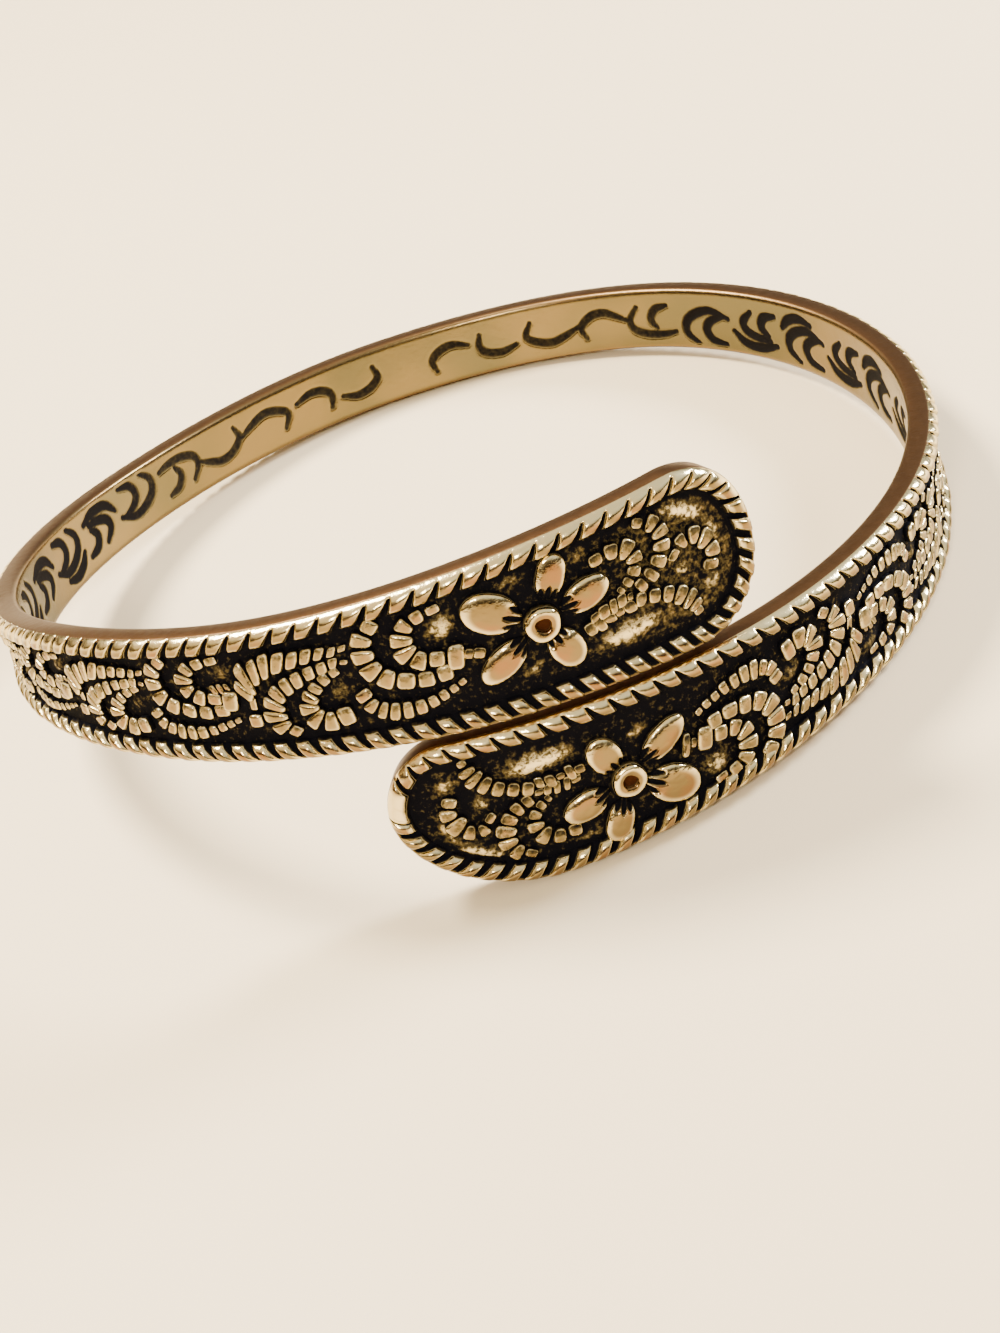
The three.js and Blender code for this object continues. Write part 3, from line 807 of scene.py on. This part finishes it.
def buildRope(material):
    rng = np.random.default_rng(rope["seed"])
    laid = Laid()
    crest = cuff["fieldDepth"] + rope["crest"]
    beads = np.arange(2 * ropeBeads)
    sizes = 1 + rope["unevenness"] * rng.uniform(-1, 1, len(beads))
    place = loopDistance(beads)
    near = nearShareAt(place)
    toTip = np.minimum(place, np.abs(upperLength - place))
    awayFromTips = smooth(toTip, *rope["laterSpan"])
    rimCut = rope["rimCutFar"] * (1 + rope["laterWider"] * awayFromTips)
    rimCut = rimCut + (rope["rimCutNear"] - rimCut) * near
    for share, rise in ropeSection:
        # a bead from stroke to stroke: places as shares of its length, and their levels
        cut = rimCut + (rope["fieldCut"] - rimCut) * share
        wide = np.maximum(near, share)
        shoulder = rope["shoulderFar"] + (rope["shoulderNear"] - rope["shoulderFar"]) * wide
        climb = [(cut, rope["cutLevel"])]
        climb += [(cut + at * shoulder, level) for at, level in ropeShoulders]
        descent = [(1 - at, level) for at, level in reversed(climb)]
        row = [(0 * cut, 0.0)] + climb + [(0 * cut + 0.5, 1.0)] + descent
        places = np.stack([at for at, level in row], 1)
        level = np.tile([level for at, level in row], len(beads))
        distance = loopDistance((beads[:, None] + places).ravel())
        onFar = np.repeat(1 - near, len(row))
        later = rope["cutLater"] * onFar * np.repeat(1 - awayFromTips, len(row))
        depth = smooth(share, rope["cutStart"] + later, rope["cutFull"] + later)
        depth = depth * (1 - wornSmooth(distance))
        top = rise * crest
        floor = top - depth * (top + rope["belowField"]) * rope["cutDeep"]
        height = fieldHeight + floor + (top * np.repeat(sizes, len(row)) - floor) * level
        distance = distance + rope["lean"] * (0.5 - share) * ropeLeanAt(distance)
        blacked = smooth(depth, *ropeLooks["cutDepth"])
        blacked = blacked * (1 - smooth(level, *ropeLooks["cutLevel"]))
        wear = (1 - blacked) * (1 - smooth(share, *ropeLooks["fieldSide"]))
        # painted highlight: bead edges, the side next to the field and the far edges' outer side
        # take the bright crest colour, and so does the worn plain stretch at the low tip
        bright = 1 - smooth(level, *ropeLooks["beadEdge"]) + smooth(share, *ropeLooks["lowerSide"])
        bright = bright + (1 - smooth(share, *ropeLooks["outerSide"])) * onFar
        bright = np.clip(bright + wornSmooth(distance), 0, 1)
        flat = outlinePoint(distance, share * cuff["ropeWidth"])
        laid.add(*flat, height, wear=wear, crest=bright)
    # closed below the field
    for share in rope["footShares"]:
        flat = outlinePoint(distance, share * cuff["ropeWidth"])
        laid.add(*flat, fieldHeight - rope["footDepth"])
    faces = ringFaces(len(distance), len(ropeSection) + 2, closed=True)
    makePiece("rope_border", laid, material, [faces])


# Scrollwork: rows of small flat topped beads. Each row has places along and across in millimetres
# and the bead's width across the row; lean slants the beads of a row, rough makes them uneven
scrolls = {
    "seed": 5,
    "widening": 1.05,
    "height": 0.5,
    "sides": 16,
    "crowding": 1.02,
    "unevenness": 0.07,
    "tilt": 0.07,
    "fanLimit": 0.55,
    "roughGap": 0.4,
    "roughTilt": 3,
    "fullSize": 0.5,
    "lowest": 0.42,
    "shade": 0.55,
    "shadeSlope": 0.6,
    "middle": (0.1, 0.3),
}
# Beads near the tips are rounder, further apart and have more painted shade in their middles than
# the band's
tipStyle = {"gap": 0.15, "fullness": 3.5, "paintedShade": 0.72}
bandStyle = {"gap": 0.125, "fullness": 4.4, "paintedShade": 0.5}
# rings of a bead: shares of its footprint and height, wear, and how bright the crest is (a painted
# highlight on the shoulders, partly polish by wear)
beadRings = [
    (1.0, -0.35, 0.0, 0.0),
    (1.0, 0.34, 0.0, 0.3),
    (0.985, 0.6, 0.25, 0.8),
    (0.925, 0.79, 0.95, 1.0),
    (0.8, 0.905, 1.0, 0.6),
    (0.57, 0.97, 1.0, 0.1),
]

endRows = [
    {"beads": [
        (5.17, 0.65, 0.5), (4.57, 1.3, 0.85), (3.9, 1.32, 1.0), (3.22, 0.75, 1.3),
        (2.92, -0.1, 0.95), (3.17, -0.85, 0.9),
    ]},
    {"beads": [
        (6.87, 3.45, 0.6), (6.12, 3.1, 0.95), (5.77, 2.45, 1.1), (5.82, 1.65, 1.15),
        (6.2, 0.88, 1.05), (6.8, 0.3, 0.95), (7.45, -0.05, 0.85),
    ]},
    {"beads": [
        (9.62, 2.5, 0.75), (8.67, 2.6, 0.95), (7.87, 2.35, 1.15), (7.52, 1.65, 0.95),
        (7.67, 0.95, 0.75), (8.17, 0.4, 0.6), (8.6, 0.1, 0.5),
    ]},
    {"beads": [
        (7.65, -0.85, 0.85), (6.85, -1.02, 0.88), (6.05, -1.28, 0.98), (5.38, -1.68, 1.15),
        (4.88, -2.18, 1.2), (4.62, -2.68, 0.95), (4.45, -3.2, 0.55),
    ]},
    {"lean": 0.2, "rough": 0.25, "beads": [
        (10.75, -1.32, 0.7), (10.2, -1.24, 0.75), (9.6, -1.15, 0.6), (9.0, -1.05, 0.7),
        (8.35, -1.0, 0.55),
    ]},
    {"lean": -0.2, "rough": 0.25, "beads": [
        (10.4, -0.72, 0.6), (9.85, -0.62, 0.62), (9.25, -0.5, 0.75), (8.7, -0.45, 0.6),
        (8.2, -0.42, 0.5),
    ]},
    {"rough": 0.3, "beads": [(17.5, -0.1, 0.85), (16.95, -0.3, 1.0)]},
]
repeatRows = [
    {"beads": [
        (18.77, 3.0, 0.5), (19.72, 2.85, 0.75), (20.47, 2.5, 1.0), (20.82, 1.8, 1.25),
        (20.77, 0.98, 1.25), (20.2, 0.38, 1.05), (19.25, 0.15, 0.9), (18.2, -0.05, 1.5),
    ]},
    {"beads": [
        (22.3, 3.05, 0.9), (22.95, 2.35, 1.2), (23.1, 1.42, 1.3), (22.85, 0.45, 1.3),
        (22.2, -0.22, 1.15), (21.2, -0.62, 1.0), (20.07, -0.85, 0.95), (19.02, -0.8, 0.9),
    ]},
    {"beads": [
        (23.72, -0.95, 0.85), (23.4, -1.7, 0.9), (22.88, -2.08, 0.95), (22.27, -2.3, 1.1),
        (21.57, -2.43, 1.05), (20.77, -2.43, 0.9), (20.07, -2.35, 0.72), (19.42, -2.15, 0.6),
        (18.8, -1.95, 0.5), (18.27, -1.72, 0.4),
    ]},
    {"lean": -0.45, "beads": [
        (24.17, 2.1, 0.35), (24.77, 2.05, 0.6), (25.47, 2.12, 0.8), (26.27, 2.12, 0.9),
        (27.07, 2.05, 1.0), (27.97, 2.02, 1.25), (28.87, 1.88, 1.45), (29.55, 1.6, 1.45),
        (30.15, 1.25, 1.7), (30.5, 0.55, 1.2),
    ]},
    {"lean": -0.2, "beads": [
        (24.3, 1.25, 0.3), (24.87, 1.35, 0.6), (25.57, 1.2, 0.7), (26.37, 1.05, 0.8),
        (27.17, 0.78, 0.95), (27.87, 0.48, 1.05), (28.55, 0.05, 1.2), (28.97, -0.6, 1.3),
        (29.07, -1.3, 1.3), (28.87, -1.95, 1.1), (28.2, -2.42, 0.7),
    ]},
    {"beads": [
        (25.0, 0.78, 0.5), (25.67, 0.48, 0.7), (26.27, 0.05, 0.85), (26.7, -0.42, 1.05),
        (26.95, -1.1, 1.2), (26.75, -1.75, 1.3), (26.0, -2.1, 1.2), (25.0, -1.95, 1.15),
    ]},
    {"beads": [(30.3, -0.4, 0.4), (30.37, -1.45, 0.8)]},
]
# beads that lead into every repeat but the first
leadRow = {"lean": 0.3, "beads": [(19.1, 0.85, 0.75), (18.65, 0.9, 0.7), (18.25, 0.9, 0.6)]}


def rowBeads(beads, row, style):
    # centres, directions, half sizes and fans of a row's beads, from the row's smooth line
    chart = np.array(beads, float)
    centres = chart[:, :2]
    gaps = np.linalg.norm(np.diff(centres, axis=0), axis=1)
    before = np.concatenate([gaps[:1], gaps]) / 2
    ahead = np.concatenate([gaps, gaps[-1:]]) / 2
    steps = unit(np.diff(extended(centres), axis=0))
    arriving, leaving = steps[:-1], steps[1:]
    forward = unit(arriving + leaving)
    turn = arriving[:, 0] * leaving[:, 1] - arriving[:, 1] * leaving[:, 0]
    half = chart[:, 2] / 2 * scrolls["widening"]
    rough = row.get("rough", 0.0)
    gap = style["gap"] - scrolls["roughGap"] * rough
    each = np.ones(len(chart))
    return {
        "centre": centres + forward * ((ahead - before) / 2)[:, None],
        "forward": forward,
        "halfLong": (before + ahead - gap) / 2,
        "halfWide": half,
        "fan": np.clip(turn / (before + ahead) * half, -scrolls["fanLimit"], scrolls["fanLimit"]),
        "lean": each * row.get("lean", 0.0),
        "rough": each * rough,
        "paintedShade": each * style["paintedShade"],
        "fullness": each * style["fullness"],
    }


def chartedBeads(end):
    # the beads of one half, in the order of their random draws
    rows = []
    for row in endRows:
        beads = [(*placed(end, along, across), wide) for along, across, wide in row["beads"]]
        rows.append(rowBeads(beads, row, tipStyle))
    for start, length in repeatSpans():
        isFirst = start == cuff["firstRepeat"]
        for row in repeatRows + ([] if isFirst else [leadRow]):
            beads = []
            for along, across, wide in row["beads"]:
                place, side = intoRepeat(start, length, along - cuff["firstRepeat"], across)
                narrow = scrolls["crowding"] * float(fieldHalfAt(place) / fieldHalfAt(along))
                beads.append((*placed(end, place, side), wide * min(1.0, narrow)))
            rows.append(rowBeads(beads, row, bandStyle))
    # one line of the arrays for each bead
    joined = {key: np.concatenate([row[key] for row in rows]) for key in rows[0]}
    return {key: value.reshape(len(value), -1) for key, value in joined.items()}


def buildScrolls(material):
    rng = np.random.default_rng(scrolls["seed"])
    laid = Laid()
    sides, rings = scrolls["sides"], len(beadRings)
    turns = 2 * np.pi * (np.arange(sides) + 0.5) / sides
    beadQuads, beadFans = ringFaces(sides, rings), capFaces(sides, rings)

    def template(column, top, bottom):
        return withMiddles(np.repeat([row[column] for row in beadRings], sides), top, bottom)

    shares = template(0, 0.0, 0.0)
    levels = template(1, 1.0, beadRings[0][1])
    wears = template(2, 1.0, 0.0)
    crests = template(3, 0.0, 0.0)
    middle = 1 - smooth(np.abs(levels - 1), *scrolls["middle"])
    quads, fans = [], []
    for end in ("low", "high"):
        beads = chartedBeads(end)
        centre, forward, halfWide = beads["centre"], beads["forward"], beads["halfWide"]
        number = len(centre)
        uneven = 1 + (scrolls["unevenness"] + beads["rough"]) * rng.uniform(-1, 1, (number, 3))
        tilt = scrolls["tilt"] + beads["rough"] / scrolls["roughTilt"]
        tilt = tilt * rng.normal(0, 1, (number, 2))

        def foot(wave):
            # one side of the squared oval, with the two middle points after the rings
            curve = np.sign(wave) * np.abs(wave) ** (2 / beads["fullness"])
            return np.concatenate([np.tile(curve, rings), np.zeros((number, 2))], 1) * shares

        footA, footB = foot(np.cos(turns)), foot(np.sin(turns))
        a = footA * (beads["halfLong"] * uneven[:, :1])
        b = footB * (halfWide * uneven[:, 1:2])
        a = a * (1 - beads["fan"] * footB) + beads["lean"] * b
        along = centre[:, :1] + forward[:, :1] * a - forward[:, 1:] * b
        across = centre[:, 1:] + forward[:, 1:] * a + forward[:, :1] * b
        size = np.clip(halfWide / scrolls["fullSize"], scrolls["lowest"], 1) * uneven[:, 2:]
        height = levels * (scrolls["height"] * size)
        height = height + np.clip(levels, 0, 1) * (a * tilt[:, :1] + b * tilt[:, 1:])
        # painted shade: the middles are darkened, most on the side that is turned upwards
        upSign = 1 if end == "high" else -1
        upward = scrolls["shade"] + upSign * forward[:, :1] * footB * scrolls["shadeSlope"]
        wear = wears - beads["paintedShade"] * middle * np.clip(upward, 0, 1)
        flat = fromTip(end, along.ravel(), across.ravel())
        crest = np.tile(crests, number)
        first = laid.add(*flat, (fieldHeight + height).ravel(), wear=wear.ravel(), crest=crest)
        shifts = first + np.arange(number)[:, None, None] * len(levels)
        quads.append((beadQuads + shifts).reshape(-1, 4))
        fans.append((beadFans + shifts).reshape(-1, 3))
    makePiece("scrollwork", laid, material, quads, fans)


# Blossoms: five petals with cut veins round a pierced boss, one near each end
blossom = {
    "radius": 4.5,
    "petalHeight": 0.6,
    "petalSides": 72,
    "petalWear": (0.2, 0.6),
    "petalCrest": (0.62, 0.9),
    "bluntness": 0.25,
    "footNarrow": 0.42,
    "endNarrow": 0.06,
    "sink": 0.14,
    "sinkSpan": (0.2, 1.0),
    "bossRadius": 1.03,
    "bossHeight": 0.76,
    "bossSides": 48,
    "bossFoot": 0.2,
    "bossCrest": 0.75,
    "holeRadius": 0.4,
    "holeWaves": ((0.07, 2, 0.6), (0.05, 3, 0.4)),
    "rimWaves": ((0.02, 3, 0.0), (0.015, 5, 1.0)),
    "veinDepth": 0.24,
    "veinWidth": 0.18,
    "veinOffsets": (-0.42, 0.0, 0.42),
    "veinLengths": (0.5, 0.62, 0.5),
    "veinFoot": 1.02,
    "veinSpread": (0.7, 0.95, 1.2),
    "veinCut": (0.25, 0.8),
    "veinBlack": (0.3, 0.7),
}
# angle from the tip's direction, reach, half length and half width as shares of the blossom's
# radius, and how square the end is
petals = [
    (14, 0.6, 0.34, 0.205, 0.1),
    (67, 0.575, 0.3, 0.185, 0.5),
    (149, 0.65, 0.4, 0.265, 0.2),
    (211, 0.63, 0.38, 0.2, 0.1),
    (297, 0.475, 0.31, 0.215, 0.2),
]
# rings of a boss above its foot: share of the rim's radius or the hole's, share of the height,
# whether it follows the hole, wear (lowered inside the hole as painted shade), and painted hole
# shade
bossRings = [
    (1.0, 0.55, False, 0.5, 0.0),
    (0.97, 0.8, False, 1.0, 0.0),
    (0.9, 0.94, False, 1.0, 0.0),
    (0.78, 1.0, False, 1.0, 0.0),
    (0.62, 0.97, False, 1.0, 0.0),
    (1.2, 0.95, True, 1.0, 0.0),
    (1.04, 0.88, True, 0.8, 0.2),
    (0.98, 0.5, True, 0.3, 1.0),
    (0.8, 0.42, True, 0.3, 1.0),
    (0.4, 0.4, True, 0.3, 1.0),
]
# share of a petal's size, and share of its height
petalRings = [
    (1.0, -0.3), (1.0, 0.35), (0.985, 0.54), (0.955, 0.66), (0.91, 0.745), (0.85, 0.81),
    (0.78, 0.865), (0.7, 0.91), (0.62, 0.945), (0.54, 0.968), (0.46, 0.984), (0.38, 0.994),
    (0.3, 0.999), (0.22, 1.0), (0.14, 1.0), (0.07, 1.0),
]


def unevenEdge(turns, waves):
    edge = np.ones_like(turns)
    for height, count, start in waves:
        edge = edge + height * np.sin(count * turns + start)
    return edge


def petalShape(end, petal):
    centre = placed(end, *flowerAt)
    turn, blunt = math.radians(petal[0]), petal[4]
    reach, long, wide = (share * blossom["radius"] for share in petal[1:4])
    sides = blossom["petalSides"]
    turns = 2 * np.pi * np.arange(sides) / sides
    x = np.cos(turns)
    fullness = 1 - blossom["bluntness"] * blunt * np.sin(2 * turns) ** 2
    narrow = 1 - np.where(x < 0, blossom["footNarrow"], blossom["endNarrow"]) * x**2
    y = np.sin(turns) * narrow / fullness
    x = np.where(x > 0, x / fullness**0.5, x)
    # rings from the foot inwards, then the middle's point above and the one below
    shares, levels = (np.array(column) for column in zip(*petalRings))
    forward = withMiddles(np.outer(shares, x).ravel() * long)
    sideways = withMiddles(np.outer(shares, y).ravel() * wide)
    heights = withMiddles(np.repeat(levels, sides), 1.0, petalRings[0][1])
    rings = withMiddles(np.repeat(shares, sides), 0.0, 1.0)
    veins = []
    for offset, length in zip(blossom["veinOffsets"], blossom["veinLengths"]):
        inwards = (blossom["veinFoot"], 1 - length / 2, 1 - length)
        spread = zip(inwards, blossom["veinSpread"])
        path = [(-place * long, offset * wide * outwards) for place, outwards in spread]
        veins.append((path, blossom["veinWidth"]))
    vein = strokeValue(forward, sideways, veins) * (heights > 0)
    slope = 1 - blossom["sink"] * smooth(-forward / long, *blossom["sinkSpan"])
    height = heights * blossom["petalHeight"] * np.where(heights > 0, slope, 1)
    shape = {
        "along": centre[0] - (forward + reach) * math.cos(turn) + sideways * math.sin(turn),
        "across": centre[1] + (forward + reach) * math.sin(turn) + sideways * math.cos(turn),
        "height": fieldHeight + height - blossom["veinDepth"] * smooth(vein, *blossom["veinCut"]),
        "wear": smooth(heights, *blossom["petalWear"]) * (1 - smooth(vein, *blossom["veinBlack"])),
        # painted highlight: the petals' outer rings take the bright crest colour, except on the
        # veins
        "crest": smooth(rings, *blossom["petalCrest"]) * (1 - vein),
    }
    return shape, sides, len(petalRings)


def bossShape(end):
    centre = placed(end, *flowerAt)
    radius, high, hole = (blossom[key] for key in ("bossRadius", "bossHeight", "holeRadius"))
    sides = blossom["bossSides"]
    rings = [(radius, -blossom["bossFoot"], False, 0.0, 0.0)]
    for share, level, atHole, *finish in bossRings:
        rings.append(((hole if atHole else radius) * share, high * level, atHole, *finish))
    radii, heights, atHole, wears, holeShades = (np.repeat(part, sides) for part in zip(*rings))
    # taken backwards, so that its faces turn outwards as the petals' do
    turns = np.tile(-2 * np.pi * np.arange(sides) / sides, len(rings))
    holeEdge, rimEdge = (unevenEdge(turns, blossom[key]) for key in ("holeWaves", "rimWaves"))
    edge = np.where(atHole, holeEdge, rimEdge)
    shape = {
        "along": centre[0] + withMiddles(radii * np.cos(turns) * edge),
        "across": centre[1] + withMiddles(radii * np.sin(turns) * edge),
        "height": fieldHeight + withMiddles(heights, heights[-1], heights[0]),
        "wear": withMiddles(wears, wears[-1]),
        # painted highlight on the boss's outer shoulder
        "crest": withMiddles(radii > radius * blossom["bossCrest"]),
        "holeShade": withMiddles(holeShades, holeShades[-1]),
    }
    return shape, sides, len(rings)


def buildBlossoms(material):
    laid = Laid()
    quads, fans = [], []
    for end in ("low", "high"):
        shapes = [petalShape(end, petal) for petal in petals] + [bossShape(end)]
        for shape, sides, rings in shapes:
            shape["along"], shape["across"] = fromTip(end, shape["along"], shape["across"])
            first = laid.add(**shape)
            quads.append(first + ringFaces(sides, rings))
            fans.append(first + capFaces(sides, rings))
    makePiece("blossoms", laid, material, quads, fans)


for finish, build in zip(finishes, (buildBand, buildRope, buildScrolls, buildBlossoms)):
    build(wornBrass(finish))
    print(finish, "laid on")

# Floor, light and camera. The camera's places are in millimetres, its roll in degrees
studio = {
    "floorColour": (0.84, 0.68, 0.44),
    "floorPale": (0.88, 0.76, 0.55),
    "floorCloud": (40.0, 2.0, 0.55),
    "floorCloudShare": 0.25,
    "floorRoughness": 0.6,
    "floorSize": 10.0,
    "skyTop": (1.0, 0.95, 0.86),
    "skyLow": (0.07, 0.05, 0.025),
    "skyLeft": (1.0, 0.80, 0.52),
    "skyRight": (0.92, 0.97, 1.0),
    "skyStrength": 1.2,
    "skyRise": (0.2, 0.65),
    "horizon": (0.02, 0.05),
    "skySides": (-0.8, 0.8),
    "cameraPlace": (-11.557, -120.834, 85.551),
    "cameraTarget": (-2.825, -19.177, 8.0),
    "cameraRoll": -17.886,
    "lens": 59.19,
    "sensor": 36,
    "nearest": 0.005,
    "furthest": 10,
}
# place in metres, size, power and colour
lamps = {
    "keyLight": ((-0.14, 0.14, 0.32), 0.12, 4.6, (1.0, 0.92, 0.78)),
    "sideLight": ((0.3, 0.05, 0.18), 0.1, 3.0, (0.96, 0.97, 1.0)),
    "frontLight": ((-0.16, -0.34, 0.3), 0.08, 1.8, (1.0, 0.93, 0.8)),
}


def buildFloor():
    half = studio["floorSize"] / 2
    mesh = bpy.data.meshes.new("floor")
    corners = [(-half, -half, 0), (half, -half, 0), (half, half, 0), (-half, half, 0)]
    mesh.from_pydata(corners, [], [(0, 1, 2, 3)])
    floor = newObject("floor", mesh)
    material = bpy.data.materials.new("paleFloor")
    tree = Nodes(material)
    cloud = tree.noise(tree.millimetres(), *studio["floorCloud"])
    cloud = cloud * studio["floorCloudShare"]
    colour = tree.mix(cloud, studio["floorColour"], studio["floorPale"])
    inputs = {"Base Color": colour, "Roughness": studio["floorRoughness"]}
    shader = tree.node("ShaderNodeBsdfPrincipled", {}, inputs)
    tree.node("ShaderNodeOutputMaterial", {}, {"Surface": shader})
    mesh.materials.append(material)


def hang(name, data, place, target, roll):
    # puts a lamp or the camera at its place, looking at the target
    aim = (target - place).to_track_quat("-Z", "Y").to_matrix()
    turn = aim @ Matrix.Rotation(math.radians(roll), 3, "Z")
    holder = newObject(name, data)
    holder.matrix_world = Matrix.Translation(place) @ turn.to_4x4()
    return holder


def buildLight():
    world = bpy.data.worlds.new("softSky")
    bpy.context.scene.world = world
    sky = Nodes(world)
    direction = sky.node("ShaderNodeTexCoord", {}, {}, "Generated")
    height = sky.node("ShaderNodeSeparateXYZ", {}, {0: direction}, "Z")
    sideways = sky.node("ShaderNodeSeparateXYZ", {}, {0: direction}, "X")
    tone = sky.mix(height.between(*studio["skyRise"]), studio["skyLow"], studio["skyTop"])
    tone = sky.mix(height.between(*studio["horizon"]), studio["skyTop"], tone)
    sideShare = sideways.between(*studio["skySides"])
    tone = sky.multiplied(tone, sky.mix(sideShare, studio["skyLeft"], studio["skyRight"]))
    inputs = {"Color": tone, "Strength": studio["skyStrength"]}
    glow = sky.node("ShaderNodeBackground", {}, inputs)
    sky.node("ShaderNodeOutputWorld", {}, {"Surface": glow})
    for name, (place, size, power, colour) in lamps.items():
        light = bpy.data.lights.new(name, "AREA")
        light.shape = "DISK"
        light.size = size
        light.energy = power
        light.color = colour
        hang(name, light, Vector(place), Vector(), 0)


def buildCamera():
    camera = bpy.data.cameras.new("camera")
    camera.lens = studio["lens"]
    camera.sensor_width = studio["sensor"]
    camera.clip_start = studio["nearest"]
    camera.clip_end = studio["furthest"]
    place, target = (Vector(studio[key]) * millimetre for key in ("cameraPlace", "cameraTarget"))
    bpy.context.scene.camera = hang("camera", camera, place, target, studio["cameraRoll"])


buildFloor()
buildLight()
buildCamera()
print("studio built")
